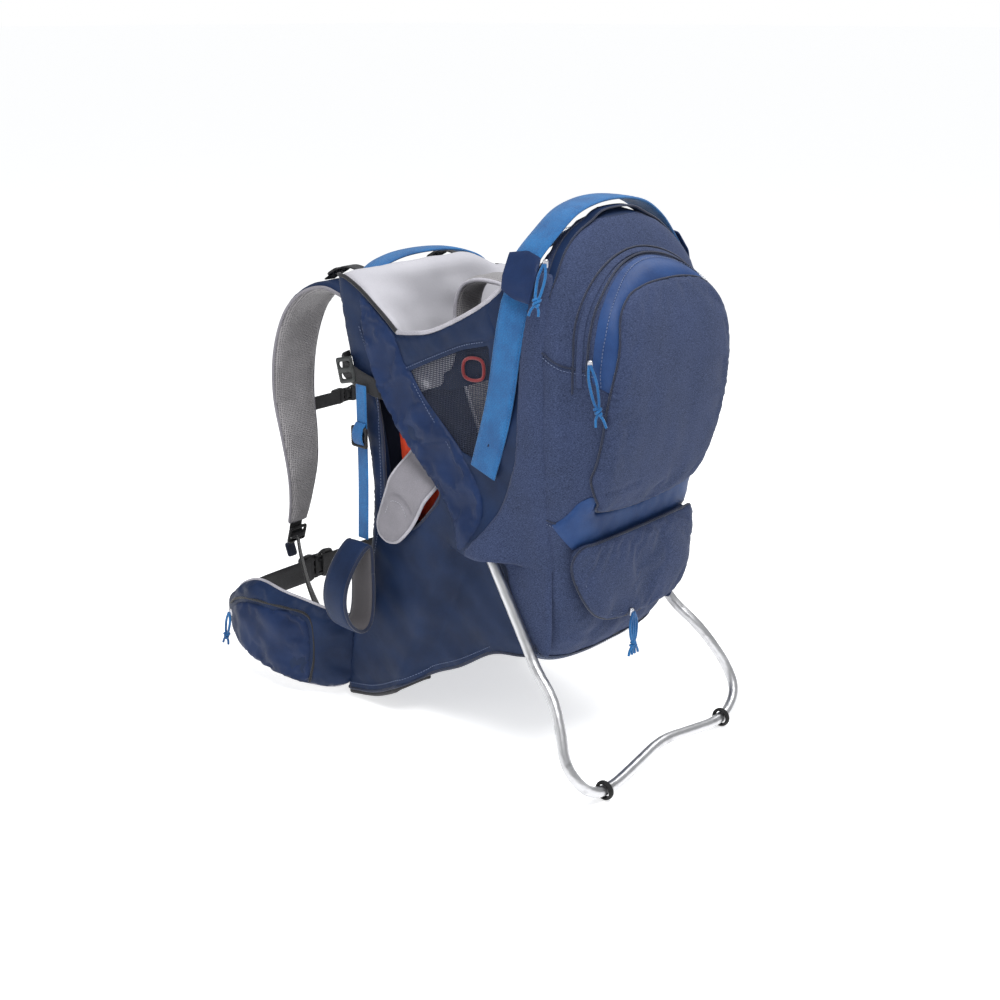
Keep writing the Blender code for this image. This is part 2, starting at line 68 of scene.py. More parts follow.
class Net:
    """A material's node tree, with short calls for adding and joining nodes."""

    def __init__(self, name):
        self.material = bpy.data.materials.new(name)
        self.material.use_nodes = True
        self.tree = self.material.node_tree
        self.shader = self.tree.nodes["Principled BSDF"]

    def add(self, kind, props=None, **inputs):
        made = self.tree.nodes.new(kind)
        for key, value in (props or {}).items():
            setattr(made, key, value)
        for key, value in inputs.items():
            self.put(made, key.replace("_", " "), value)
        return made

    def put(self, made, key, value):
        socket = made.inputs[int(key) if key.isdigit() else key]
        if hasattr(value, "node"):
            self.tree.links.new(value, socket)
        else:
            socket.default_value = value

    def math(self, operation, a, b=0.0):
        made = self.tree.nodes.new("ShaderNodeMath")
        made.operation = operation
        self.put(made, "0", a)
        self.put(made, "1", b)
        return made.outputs[0]

    def mix(self, factor, a, b):
        made = self.tree.nodes.new("ShaderNodeMix")
        made.data_type = "RGBA"
        self.put(made, "0", factor)
        self.put(made, "6", a)
        self.put(made, "7", b)
        return made.outputs[2]

    def noise(self, vector, scale, detail=3.0, stretch=None):
        if stretch:
            vector = self.add("ShaderNodeMapping", Vector=vector, Scale=stretch).outputs[0]
        return self.add("ShaderNodeTexNoise", Vector=vector, Scale=scale, Detail=detail).outputs[0]

    def wave(self, vector, period, direction):
        props = {"wave_type": "BANDS", "bands_direction": direction}
        return self.add("ShaderNodeTexWave", props, Vector=vector, Scale=0.31416 / period).outputs[1]

    def sharpen(self, value, low, high):
        made = self.add("ShaderNodeMapRange", {"interpolation_type": "SMOOTHSTEP"}, Value=value)
        made.inputs["From Min"].default_value = low
        made.inputs["From Max"].default_value = high
        return made.outputs[0]

    def bump(self, height, distance, strength=1.0, below=None):
        made = self.add("ShaderNodeBump", Height=height, Distance=distance, Strength=strength)
        if below:
            self.tree.links.new(below, made.inputs["Normal"])
        return made.outputs[0]

    def finish(self, colour, rough, normal=None, metal=0.0, sheen=0.0, specular=0.4, alpha=None):
        shader = self.shader
        self.put(shader, "Base Color", colour)
        self.put(shader, "Roughness", rough)
        shader.inputs["Metallic"].default_value = metal
        shader.inputs["Sheen Weight"].default_value = sheen
        shader.inputs["Sheen Roughness"].default_value = 0.45
        shader.inputs["Specular IOR Level"].default_value = specular
        if normal:
            self.tree.links.new(normal, shader.inputs["Normal"])
        if alpha:
            self.tree.links.new(alpha, shader.inputs["Alpha"])
        return self.material


def rgba(colour):
    return (*linear(*colour), 1.0)


def nylon(name, dark, light, rough=0.52, sheen=0.02):
    """Plain woven nylon: fine threads, broad colour drift, and a little dust on the high spots."""
    net = Net(name)
    coords = net.add("ShaderNodeTexCoord")
    uv, place = coords.outputs["UV"], coords.outputs["Object"]
    weave = net.math("MULTIPLY", net.wave(uv, 0.0011, "X"), net.wave(uv, 0.0011, "Y"))
    drift = net.noise(place, 24.0, 4.0)
    grain = net.noise(place, 700.0, 2.0)
    tone = net.math("ADD", net.math("MULTIPLY", drift, 0.75), net.math("MULTIPLY", grain, 0.25))
    colour = net.mix(net.sharpen(tone, 0.20, 0.80), rgba(dark), rgba(light))
    crease = net.bump(net.noise(place, 42.0, 5.0), 0.0012, 0.35)
    normal = net.bump(weave, 0.00016, 0.55, crease)
    return net.finish(colour, rough, normal, sheen=sheen, specular=0.2)


def heather(name, dark, middle, light):
    """Melange weave: light and dark yarns crossing, each a few millimetres long."""
    net = Net(name)
    coords = net.add("ShaderNodeTexCoord")
    uv, place = coords.outputs["UV"], coords.outputs["Object"]
    weft = net.noise(place, 1.0, 2.0, (520.0, 520.0, 2600.0))
    warp = net.noise(place, 1.0, 2.0, (2600.0, 2600.0, 520.0))
    yarn = net.math("ADD", net.math("MULTIPLY", weft, 0.6), net.math("MULTIPLY", warp, 0.4))
    base = net.mix(net.sharpen(net.noise(place, 20.0, 4.0), 0.3, 0.7), rgba(dark), rgba(middle))
    colour = net.mix(net.sharpen(yarn, 0.26, 0.86), base, rgba(light))
    weave = net.math("MULTIPLY", net.wave(uv, 0.0013, "X"), net.wave(uv, 0.0013, "Y"))
    crease = net.bump(net.noise(place, 36.0, 5.0), 0.0012, 0.3)
    normal = net.bump(net.math("ADD", weave, yarn), 0.00012, 0.4, crease)
    return net.finish(colour, 0.88, normal, sheen=0.06, specular=0.15)


def webbing_look(name, dark, light, rough=0.7):
    """Ribbed webbing: ribs across the strap, with thread wear."""
    net = Net(name)
    coords = net.add("ShaderNodeTexCoord")
    uv, place = coords.outputs["UV"], coords.outputs["Object"]
    ribs = net.wave(uv, 0.0016, "X")
    threads = net.wave(uv, 0.0008, "Y")
    drift = net.noise(place, 30.0, 3.0)
    grain = net.noise(place, 900.0, 2.0)
    tone = net.math("ADD", net.math("MULTIPLY", drift, 0.5), net.math("MULTIPLY", grain, 0.5))
    colour = net.mix(net.sharpen(tone, 0.35, 0.68), rgba(dark), rgba(light))
    height = net.math("ADD", ribs, net.math("MULTIPLY", threads, 0.5))
    return net.finish(colour, rough, net.bump(height, 0.00035, 0.6), sheen=0.25)


def spacer_mesh(name, dark, light, cell=0.0032):
    """Air mesh: small raised rings over a darker ground."""
    net = Net(name)
    coords = net.add("ShaderNodeTexCoord")
    uv, place = coords.outputs["UV"], coords.outputs["Object"]
    props = {"feature": "F1", "voronoi_dimensions": "2D"}
    cells = net.add("ShaderNodeTexVoronoi", props, Vector=uv, Scale=1 / cell, Randomness=0.18).outputs[0]
    holes = net.sharpen(cells, 0.16, 0.42)
    drift = net.noise(place, 26.0, 3.0)
    tone = net.mix(net.sharpen(drift, 0.3, 0.7), rgba(tuple(c * 0.88 for c in light)), rgba(light))
    colour = net.mix(holes, rgba(dark), tone)
    return net.finish(colour, 0.92, net.bump(holes, 0.0006, 0.8), sheen=0.3)


def soft_lining(name, dark, light):
    """Brushed lining: short nap, soft drift."""
    net = Net(name)
    coords = net.add("ShaderNodeTexCoord")
    place = coords.outputs["Object"]
    nap = net.noise(place, 1400.0, 3.0)
    drift = net.noise(place, 22.0, 4.0)
    tone = net.math("ADD", net.math("MULTIPLY", drift, 0.35), net.math("MULTIPLY", nap, 0.65))
    colour = net.mix(net.sharpen(tone, 0.25, 0.75), rgba(dark), rgba(light))
    crease = net.bump(net.noise(place, 40.0, 4.0), 0.0011, 0.35)
    return net.finish(colour, 0.95, net.bump(nap, 0.0002, 0.5, crease), sheen=0.15)


def window_mesh(name, colour_a, hole):
    """Open mesh: threads with clear holes between them."""
    net = Net(name)
    uv = net.add("ShaderNodeTexCoord").outputs["UV"]
    grid = net.math("MAXIMUM", net.wave(uv, 0.0026, "X"), net.wave(uv, 0.0026, "Y"))
    thread = net.sharpen(grid, hole, hole + 0.12)
    tone = net.mix(net.noise(uv, 40.0, 3.0), rgba(colour_a), rgba(tuple(c * 1.25 for c in colour_a)))
    return net.finish(tone, 0.8, None, sheen=0.2, alpha=thread)


def moulded(name, dark, light, rough=0.48):
    """Moulded plastic: fine pebble grain, rubbed a little lighter here and there."""
    net = Net(name)
    place = net.add("ShaderNodeTexCoord").outputs["Object"]
    pebble = net.noise(place, 1800.0, 2.0)
    rub = net.noise(place, 90.0, 4.0)
    colour = net.mix(net.sharpen(rub, 0.4, 0.75), rgba(dark), rgba(light))
    return net.finish(colour, rough, net.bump(pebble, 0.0001, 0.5))


def brushed(name, colour, rough=0.24):
    """Satin-drawn aluminium: streaks along the tube, and faint handling marks."""
    net = Net(name)
    place = net.add("ShaderNodeTexCoord").outputs["Object"]
    streak = net.noise(place, 1.0, 3.0, (900.0, 160.0, 160.0))
    marks = net.sharpen(net.noise(place, 60.0, 6.0), 0.50, 0.72)
    tint = net.mix(marks, rgba(colour), rgba(tuple(c * 0.86 for c in colour)))
    roughness = net.math("ADD", net.math("MULTIPLY", streak, 0.16), rough)
    return net.finish(tint, roughness, net.bump(streak, 0.00008, 0.4), metal=1.0, specular=0.5)


NAVY = nylon("navy_nylon", (13, 29, 57), (25, 45, 80))
NAVY_BAND = nylon("navy_nylon_band", (28, 52, 96), (42, 72, 122), 0.46)
NAVY_SOFT = nylon("navy_nylon_soft", (16, 33, 66), (27, 48, 88), 0.5)
DEEP = nylon("deep_navy_nylon", (13, 18, 34), (22, 28, 48), 0.7)
HEATHER = heather("navy_heather", (20, 28, 50), (28, 37, 64), (84, 97, 132))
BLUE = webbing_look("blue_webbing", (8, 76, 132), (22, 110, 172))
BLACK_WEB = webbing_look("black_webbing", (14, 14, 17), (34, 34, 38))
MESH = spacer_mesh("grey_spacer_mesh", (88, 86, 90), (156, 153, 155), 0.0026)
DARK_MESH = spacer_mesh("dark_spacer_mesh", (20, 20, 24), (62, 62, 68))
LINING = soft_lining("grey_lining", (174, 173, 180), (190, 189, 195))
PAD_GREY = soft_lining("grey_pad_cloth", (118, 116, 122), (146, 143, 150))
PAD_DARK = soft_lining("dark_pad_cloth", (78, 75, 78), (98, 95, 98))
BINDING = webbing_look("grey_binding", (158, 156, 164), (192, 190, 198))
BLACK_BIND = webbing_look("black_binding", (16, 16, 20), (34, 34, 40))
NAVY_BIND = webbing_look("navy_binding", (14, 24, 48), (24, 38, 68))
WINDOW = window_mesh("navy_window_mesh", (24, 32, 52), 0.80)
ORANGE = nylon("orange_nylon", (196, 56, 30), (224, 76, 44), 0.6)
PLASTIC = moulded("black_plastic", (14, 14, 16), (34, 34, 37))
OLIVE = moulded("grey_plastic", (44, 47, 47), (66, 68, 68))
RUBBER = moulded("black_rubber", (12, 12, 13), (26, 26, 28), 0.75)
RED = moulded("red_plastic", (168, 24, 16), (196, 40, 26))
RED_CORD = webbing_look("red_cord", (96, 20, 28), (134, 34, 40))
ALLOY = brushed("drawn_aluminium", (206, 206, 208), 0.30)
STEEL = brushed("zip_steel", (205, 205, 210), 0.3)
THREAD = webbing_look("stitch_thread", (70, 84, 120), (104, 118, 150))
PALE_THREAD = webbing_look("pale_thread", (150, 150, 160), (190, 190, 198))


# Shape tools. Outlines are (u, v) points in metres on a surface, which maps them to space.

def smooth_path(points, step=0.004, closed=False):
    """A Catmull-Rom curve through points, in any dimension, sampled evenly."""
    p = np.asarray(points, float)
    if len(p) < 3:
        knots = p
    else:
        ends = [p[-1], *p, p[0], p[1]] if closed else [2 * p[0] - p[1], *p, 2 * p[-1] - p[-2]]
        t = np.linspace(0, 1, 17)[:-1, None]
        parts = []
        for a, b, c, d in zip(ends, ends[1:], ends[2:], ends[3:]):
            parts.append(0.5 * (2 * b + (c - a) * t + (2 * a - 5 * b + 4 * c - d) * t**2
                                + (3 * b - a - 3 * c + d) * t**3))
        knots = np.vstack(parts + ([] if closed else [p[-1:]]))
    return even_path(knots, step, closed)


def even_path(points, step, closed=False):
    """Straight runs between points, sampled evenly."""
    p = np.asarray(points, float)
    if closed:
        p = np.vstack([p, p[:1]])
    run = np.concatenate([[0], np.cumsum(np.linalg.norm(np.diff(p, axis=0), axis=1))])
    count = max(2, int(round(run[-1] / step)) + 1)
    at = np.linspace(0, run[-1], count)
    if closed:
        at = at[:-1]
    return np.stack([np.interp(at, run, p[:, i]) for i in range(p.shape[1])], 1)


def inside(points, loop):
    """Which of the points lie in a closed loop."""
    x, y = points[:, 0][:, None], points[:, 1][:, None]
    a, b = loop, np.roll(loop, -1, 0)
    rise = b[:, 1] - a[:, 1]
    crossing = (a[:, 1] > y) != (b[:, 1] > y)
    with np.errstate(divide="ignore", invalid="ignore"):
        where = a[:, 0] + (y - a[:, 1]) * (b[:, 0] - a[:, 0]) / rise
    return (crossing & (x < where)).sum(1) % 2 == 1


def distance(points, path, closed):
    """Distance from each point to a path."""
    best = np.full(len(points), 1e9)
    ends = np.roll(path, -1, 0) if closed else path[1:]
    starts = path if closed else path[:-1]
    for first in range(0, len(starts), 64):
        a, b = starts[first:first + 64], ends[first:first + 64]
        ab = b - a
        length = np.maximum((ab**2).sum(1), 1e-12)
        t = np.clip(((points[:, None] - a) * ab).sum(2) / length, 0, 1)
        gap = np.linalg.norm(points[:, None] - (a + t[..., None] * ab), axis=2)
        best = np.minimum(best, gap.min(1))
    return best


def ripple(points, wavelength, seed, waves=14):
    """Smooth noise from -1 to 1, as a sum of plane waves with fixed directions."""
    state = np.random.RandomState(seed)
    total = np.zeros(len(points))
    for _ in range(waves):
        way = state.normal(size=points.shape[1])
        way /= np.linalg.norm(way)
        total += np.sin(points @ way * 2 * math.pi / (wavelength * state.uniform(0.6,
                1.5)) + state.uniform(0, 6.28))
    return total / math.sqrt(waves) / 1.6


def grid_fill(outline, holes, step):
    """Vertices and triangles filling an outline, evenly spaced inside."""
    low, high = outline.min(0), outline.max(0)
    rows = np.arange(low[1], high[1] + step, step * 0.866)
    points = []
    for number, v in enumerate(rows):
        u = np.arange(low[0] + (step / 2 if number % 2 else 0), high[0] + step, step)
        points.append(np.stack([u, np.full(len(u), v)], 1))
    points = np.vstack(points)
    keep = inside(points, outline) & (distance(points, outline, True) > step * 0.45)
    for hole in holes:
        keep &= ~inside(points, hole) & (distance(points, hole, True) > step * 0.45)
    loops = [outline, *holes]
    verts = np.vstack(loops + [points[keep]])
    edges, start = [], 0
    for loop in loops:
        edges += [(start + i, start + (i + 1) % len(loop)) for i in range(len(loop))]
        start += len(loop)
    out = delaunay_2d_cdt([Vector(v) for v in verts], edges, [], 0, 1e-7)
    verts = np.array([tuple(v) for v in out[0]])
    faces = np.array([f for f in out[2] if len(f) == 3])
    centres = verts[faces].mean(1)
    keep = inside(centres, outline)
    for hole in holes:
        keep &= ~inside(centres, hole)
    faces = faces[keep]
    used = np.unique(faces)
    remap = np.full(len(verts), -1)
    remap[used] = np.arange(len(used))
    verts, faces = verts[used], remap[faces]
    a, b, c = verts[faces[:, 0]], verts[faces[:, 1]], verts[faces[:, 2]]
    turned = (b - a)[:, 0] * (c - a)[:, 1] - (b - a)[:, 1] * (c - a)[:, 0] < 0
    faces[turned] = faces[turned][:, ::-1]
    return verts, faces


def rim_edges(faces):
    """Directed edges that only one face has."""
    edges = np.vstack([faces[:, [0, 1]], faces[:, [1, 2]], faces[:, [2, 0]]])
    seen = {tuple(e) for e in edges.tolist()}
    return np.array([e for e in edges.tolist() if (e[1], e[0]) not in seen])


def new_object(name, verts, faces, uv, materials, slots=None, sharp=55):
    mesh = bpy.data.meshes.new(name)
    mesh.from_pydata([tuple(v) for v in verts], [], faces)
    for material in materials:
        mesh.materials.append(material)
    if slots is not None:
        mesh.polygons.foreach_set("material_index", slots)
    layer = mesh.uv_layers.new(name="UVMap")
    corner = np.zeros(len(mesh.loops), np.int32)
    mesh.loops.foreach_get("vertex_index", corner)
    layer.data.foreach_set("uv", np.asarray(uv, np.float32)[corner].ravel())
    mesh.polygons.foreach_set("use_smooth", [True] * len(mesh.polygons))
    mesh.set_sharp_from_angle(angle=math.radians(sharp))
    mesh.update()
    obj = bpy.data.objects.new(name, mesh)
    bpy.context.scene.collection.objects.link(obj)
    return obj


def facing(surface, uv, out):
    """Where the surface is, and its unit normal on the out side (1 or -1)."""
    e = 0.0006
    here = surface(uv)
    du = surface(uv + (e, 0)) - surface(uv - (e, 0))
    dv = surface(uv + (0, e)) - surface(uv - (0, e))
    normal = np.cross(du, dv) * out
    return here, normal / np.maximum(np.linalg.norm(normal, axis=1), 1e-12)[:, None]


def draw(stretch):
    """A matrix that stretches space; three numbers stretch along X, Y and Z."""
    return np.diag(stretch) if np.ndim(stretch) == 1 else np.asarray(stretch)


def puff(edge, full, reach, gap):
    """Thickness at a distance from the edge: rounded up to its full depth over the reach."""
    t = np.clip(gap / max(reach, 1e-6), 0, 1)
    return edge + (full - edge) * np.sqrt(1 - (1 - t) ** 2)


def pad(name, outline, surface, front, back=0.001, edge=0.0008, reach=0.012, holes=(), step=0.004, out=1,
        seams=(), seam_depth=0.55, seam_width=0.004, folds=(0.0, 0.03), pucker=0.0, seed=1,
        materials=(NAVY,),
        curve=True, lift=0.0, stretch=(1.0, 1.0, 1.0)):
    """A closed sewn piece: an outline on a surface, puffed out in front and behind, with stitched channels.

    folds is (height, wavelength) of loose folds, and stretch draws them out along an axis where it is small;
    pucker is the height of the gathers beside seams and edges."""
    make = smooth_path if curve else even_path
    loop = make(outline, step, True)
    cuts = [make(hole, step, True) for hole in holes]
    uv, faces = grid_fill(loop, cuts, step)
    gap = distance(uv, loop, True)
    for hole in cuts:
        gap = np.minimum(gap, distance(uv, hole, True))
    depth_front, depth_back = puff(edge, front, reach, gap), puff(edge, back, reach, gap)
    near = gap.copy()
    for seam in seams:
        path = smooth_path(seam, step) if len(seam) > 2 else even_path(seam, step)
        away = distance(uv, path, False)
        sink = 1 - seam_depth * np.exp(-((away / seam_width) ** 2))
        depth_front, depth_back = edge + (depth_front - edge) * sink, edge + (depth_back - edge) * sink
        near = np.minimum(near, away)
    here, normal = facing(surface, uv, out)
    inner = np.clip(gap / 0.012, 0, 1)
    loose = folds[0] * ripple(here @ draw(stretch), folds[1], seed) * inner
    gather = pucker * ripple(here, 0.010, seed + 7) * np.exp(-near / 0.011) * np.clip(gap / 0.003, 0, 1)
    loose = loose + gather + lift
    top = here + normal * (depth_front + loose)[:, None]
    under = here + normal * (loose - depth_back)[:, None]
    count = len(uv)
    flip = out < 0
    front_faces = faces[:, ::-1] if flip else faces
    back_faces = (faces if flip else faces[:, ::-1]) + count
    walls = [(b, a, a + count, b + count) for a, b in rim_edges(front_faces)]
    all_faces = front_faces.tolist() + back_faces.tolist() + walls
    slots = [0] * len(faces) + [len(materials) - 1] * len(faces) + [0] * len(walls)
    return new_object(name, np.vstack([top, under]), all_faces, np.vstack([uv, uv]), materials, slots)


def frames_along(path, side=None, closed=False):
    """Tangent, side and up at each point of a path; side fixes the width direction of flat pieces."""
    if closed:
        tangent = np.roll(path, -1, 0) - np.roll(path, 1, 0)
    else:
        tangent = np.gradient(path, axis=0)
    tangent = tangent / np.maximum(np.linalg.norm(tangent, axis=1), 1e-12)[:, None]
    if side is not None:
        wide = np.broadcast_to(np.asarray(side, float), path.shape).copy()
        wide -= (wide * tangent).sum(1)[:, None] * tangent
        wide /= np.linalg.norm(wide, axis=1)[:, None]
    else:
        wide = np.zeros_like(path)
        first = np.cross(tangent[0], (0.31, 0.42, 0.85))
        wide[0] = first / np.linalg.norm(first)
        for i in range(1, len(path)):
            turned = wide[i - 1] - (wide[i - 1] @ tangent[i]) * tangent[i]
            wide[i] = turned / max(np.linalg.norm(turned), 1e-9)
    return tangent, wide, np.cross(tangent, wide)


def round_section(radius, count=10):
    a = np.arange(count) * 2 * math.pi / count
    return np.stack([np.cos(a), np.sin(a)], 1) * radius


def strap_section(width, thick, bulge=0.0):
    """A flat strap's cross-section, with rounded edges."""
    w, t = width / 2, thick / 2
    r = min(t, 0.0012)
    top = [(-w + r * 0.3, t * 0.55), (-w + r, t)]
    top += [(x * w, t + bulge * (1 - x * x)) for x in (-0.6, 0.0, 0.6)]
    top += [(w - r, t), (w - r * 0.3, t * 0.55), (w, 0)]
    under = [(-a, -b) for a, b in top]
    return np.array(top + under)[::-1]


def sweep(name, path, section, side=None, closed=False, materials=(BLUE,), inner=False):
    """A section carried along a path. With inner, the second material covers its lower half."""
    _, wide, up = frames_along(path, side, closed)
    a, b = section[:, 0][None, :, None], section[:, 1][None, :, None]
    verts = path[:, None] + a * wide[:, None] + b * up[:, None]
    n, m = len(path), len(section)
    run = np.concatenate([[0], np.cumsum(np.linalg.norm(np.diff(path, axis=0), axis=1))])
    round_run = np.concatenate([[0], np.cumsum(np.linalg.norm(np.diff(section, axis=0), axis=1))])
    uv = np.stack(np.broadcast_arrays(run[:, None], round_run[None]), 2).reshape(-1, 2)
    faces, slots = [], []
    for i in range(n if closed else n - 1):
        k = (i + 1) % n
        for j in range(m):
            l = (j + 1) % m
            faces.append((i * m + j, i * m + l, k * m + l, k * m + j))
            slots.append(1 if inner and (section[j, 1] + section[l, 1]) < 0 else 0)
    if not closed:
        faces.append(tuple(range(m))[::-1])
        faces.append(tuple((n - 1) * m + j for j in range(m)))
        slots += [0, 0]
    return new_object(name, verts.reshape(-1, 3), faces, uv, materials, slots, 50)


def cord(name, points, radius, material, closed=False, step=0.003, count=8):
    path = smooth_path(points, step, closed) if len(points) > 2 else even_path(points, step)
    return sweep(name, path, round_section(radius, count), closed=closed, materials=(material,))


def strap(name, points, width, thick, side, material, closed=False, step=0.005, lining=None,
          bulge=0.0):
    path = smooth_path(points, step, closed) if len(points) > 2 else even_path(points, step)
    materials = (material, lining) if lining else (material,)
    return sweep(name, path, strap_section(width, thick, bulge), side, closed, materials, bool(lining))


def on_surface(surface, outline, out, lift, step=0.003, closed=True, curve=True):
    """An outline carried onto a surface and raised off it."""
    make = smooth_path if curve else even_path
    uv = make(outline, step, closed)
    here, normal = facing(surface, uv, out)
    return here + normal * lift, normal


def piping(name, surface, outline, out, lift, radius, material, closed=True, curve=True):
    path, _ = on_surface(surface, outline, out, lift, 0.003, closed, curve)
    return sweep(name, path, round_section(radius, 8), closed=closed, materials=(material,))


def stitches(name, paths, material, length=0.0028, pitch=0.0042, radius=0.00042):
    """Runs of sewn thread. Each path is (points, normals)."""
    verts, faces, uv = [], [], []
    shape = [(-0.5, 0.0), (-0.36, 1.0), (0.36, 1.0), (0.5, 0.0)]
    for points, normals in paths:
        run = np.concatenate([[0], np.cumsum(np.linalg.norm(np.diff(points, axis=0), axis=1))])
        at = np.arange(pitch / 2, run[-1] - pitch / 2, pitch)
        place = np.stack([np.interp(at, run, points[:, i]) for i in range(3)], 1)
        ahead = np.stack([np.interp(at + length / 2, run, points[:, i]) for i in range(3)], 1)
        up = np.stack([np.interp(at, run, normals[:, i]) for i in range(3)], 1)
        way = ahead - place
        way /= np.maximum(np.linalg.norm(way, axis=1), 1e-9)[:, None]
        wide = np.cross(way, up)
        for p, t, w, n in zip(place, way, wide, up):
            base = len(verts)
            for along, size in shape:
                for k in range(5):
                    angle = 2 * math.pi * k / 5
                    r = radius * max(size, 0.3)
                    verts.append(p + t * along * length + w * r * 1.3 * math.cos(angle)
                                 + n * r * math.sin(angle))
                    uv.append((along * length, k * 0.0004))
            for i in range(len(shape) - 1):
                for k in range(5):
                    a, b = base + i * 5 + k, base + i * 5 + (k + 1) % 5
                    faces.append((a, b, b + 5, a + 5))
            faces.append(tuple(base + k for k in range(5))[::-1])
            faces.append(tuple(base + 15 + k for k in range(5)))
    return new_object(name, verts, faces, uv, (material,))


def stations(pairs):
    """A smooth function through (x, value) pairs."""
    x = np.array([p[0] for p in pairs], float)
    y = np.array([p[1] for p in pairs], float)
    slope = np.gradient(y, x)

    def value(at):
        at = np.clip(at, x[0], x[-1])
        i = np.clip(np.searchsorted(x, at) - 1, 0, len(x) - 2)
        h = x[i + 1] - x[i]
        t = (at - x[i]) / h
        return ((2 * t**3 - 3 * t**2 + 1) * y[i] + (t**3 - 2 * t**2 + t) * h * slope[i]
                + (3 * t**2 - 2 * t**3) * y[i + 1] + (t**3 - t**2) * h * slope[i + 1])

    return value


def smoothstep(low, high, value):
    t = np.clip((value - low) / (high - low), 0, 1)
    return t * t * (3 - 2 * t)


def flat(origin, u_way, v_way):
    """A flat surface through origin, with u and v running along two directions."""
    o, u, v = (np.asarray(a, float) for a in (origin, u_way, v_way))
    return lambda uv: o + uv[:, :1] * u + uv[:, 1:] * v


def along_path(points, plane):
    """A surface whose u runs along a path in a plane and whose v runs square to it: 'YZ' has v along X."""
    path = smooth_path(points, 0.002)
    run = np.concatenate([[0], np.cumsum(np.linalg.norm(np.diff(path, axis=0), axis=1))])

    def surface(uv):
        u = np.clip(uv[:, 0], -0.004, run[-1] + 0.004)
        spots = []
        for i in range(2):
            value = np.interp(u, run, path[:, i])
            value += np.where(u < 0, u * (path[1, i] - path[0, i]) / run[1], 0)
            value += np.where(u > run[-1], (u - run[-1]) * (path[-1, i] - path[-2, i]) / (run[-1] - run[-2]),
                              0)
            spots.append(value)
        a, b = spots
        v = uv[:, 1]
        return np.stack({"YZ": (v, a, b), "XZ": (a, v, b), "XY": (a, b, v)}[plane], 1)

    return surface, run[-1]


def rounded(width, height, radius, centre=(0, 0)):
    """A rounded rectangle as a dense outline."""
    points = []
    for k, (sx, sy) in enumerate(((1, 1), (-1, 1), (-1, -1), (1, -1))):
        for step in range(5):
            a = math.radians(90 * k + 90 * step / 4)
            points.append((centre[0] + sx * (width / 2 - radius) + radius * math.cos(a),
                           centre[1] + sy * (height / 2 - radius) + radius * math.sin(a)))
    return points


# The object's own surfaces.

def front_y(z):
    return -0.060 * np.sin(math.pi * np.asarray(z) / 0.62) ** 2 - 0.020 * np.asarray(z)


BAG_WIDE = stations([(0.128, 0.084), (0.14, 0.102), (0.16, 0.116), (0.22, 0.1265), (0.30, 0.1285),
                     (0.35, 0.136),
                     (0.40, 0.142), (0.50, 0.146), (0.58, 0.143), (0.60, 0.139), (0.62, 0.131),
                     (0.64, 0.118),
                     (0.655, 0.105), (0.668, 0.090), (0.680, 0.071), (0.690, 0.047), (0.699, 0.016)])
BAG_FRONT = stations([(0.128, -0.232), (0.16, -0.240), (0.22, -0.262), (0.30, -0.277), (0.40, -0.292),
                      (0.50, -0.301), (0.60, -0.306), (0.699, -0.314)])
BAG_REAR = stations([(0.128, -0.318), (0.14, -0.336), (0.16, -0.352), (0.19, -0.364), (0.22, -0.370),
                     (0.30, -0.373), (0.40, -0.376), (0.50, -0.378), (0.58, -0.376), (0.62, -0.370),
                     (0.65, -0.360), (0.675, -0.347), (0.69, -0.336), (0.699, -0.324)])
BAG_SQUARE = stations([(0.128, 3.0), (0.2, 3.8), (0.55, 4.0), (0.64, 3.2), (0.699, 2.4)])
BAG_LEVELS = np.linspace(0.128, 0.699, 140)
RING_STEP = 0.002


def half_ring(z):
    """Half the bag's outline at a height, from mid rear face round to mid front."""
    turn = np.linspace(0, math.pi, 900)
    power = np.where(turn < math.pi / 2, 2 / BAG_SQUARE(z), 2 / 12)
    middle, deep = (BAG_FRONT(z) + BAG_REAR(z)) / 2, (BAG_FRONT(z) - BAG_REAR(z)) / 2
    x = BAG_WIDE(z) * np.abs(np.sin(turn)) ** power
    y = middle - deep * np.sign(np.cos(turn)) * np.abs(np.cos(turn)) ** power
    run = np.concatenate([[0], np.cumsum(np.hypot(np.diff(x), np.diff(y)))])
    at = np.minimum(np.arange(220) * RING_STEP, run[-1])
    return np.stack([np.interp(at, run, x), np.interp(at, run, y)], 1), run[-1]


RINGS = np.array([half_ring(z)[0] for z in BAG_LEVELS])


POCKET = [(-0.098, 0.348), (-0.117, 0.372), (-0.126, 0.420), (-0.130, 0.480), (-0.130, 0.540),
          (-0.126, 0.578),
          (-0.112, 0.609), (-0.086, 0.633), (-0.046, 0.651), (0.0, 0.658), (0.046, 0.651), (0.086, 0.633),
          (0.112, 0.609), (0.126, 0.578), (0.130, 0.540), (0.130, 0.480), (0.126, 0.420), (0.117, 0.372),
          (0.098, 0.348), (0.0, 0.336)]
POCKET_DEPTH = stations([(0.335, 0.0), (0.377, 0.022), (0.414, 0.032), (0.445, 0.039), (0.48, 0.044),
                         (0.53, 0.047), (0.57, 0.045), (0.60, 0.038), (0.66, 0.020)])
BULGE_STEP = 0.002


def bulge_table():
    """The filled pocket's depth on a grid of distance round and height, rising from its outline."""
    s, z = np.meshgrid(np.arange(0, 0.160, BULGE_STEP), np.arange(0.330, 0.664, BULGE_STEP), indexing="ij")
    points = np.stack([s.ravel(), z.ravel()], 1)
    loop = smooth_path(POCKET, 0.004, True)
    rise = smoothstep(0.0, 0.024, distance(points, loop, True)) * inside(points, loop)
    depth = (rise * POCKET_DEPTH(points[:, 1])).reshape(s.shape)
    for _ in range(6):
        wide = np.pad(depth, 1, mode="edge")
        depth = (wide[:-2, 1:-1] + wide[2:, 1:-1] + wide[1:-1, :-2] + wide[1:-1, 2:] + depth) / 5
    return depth


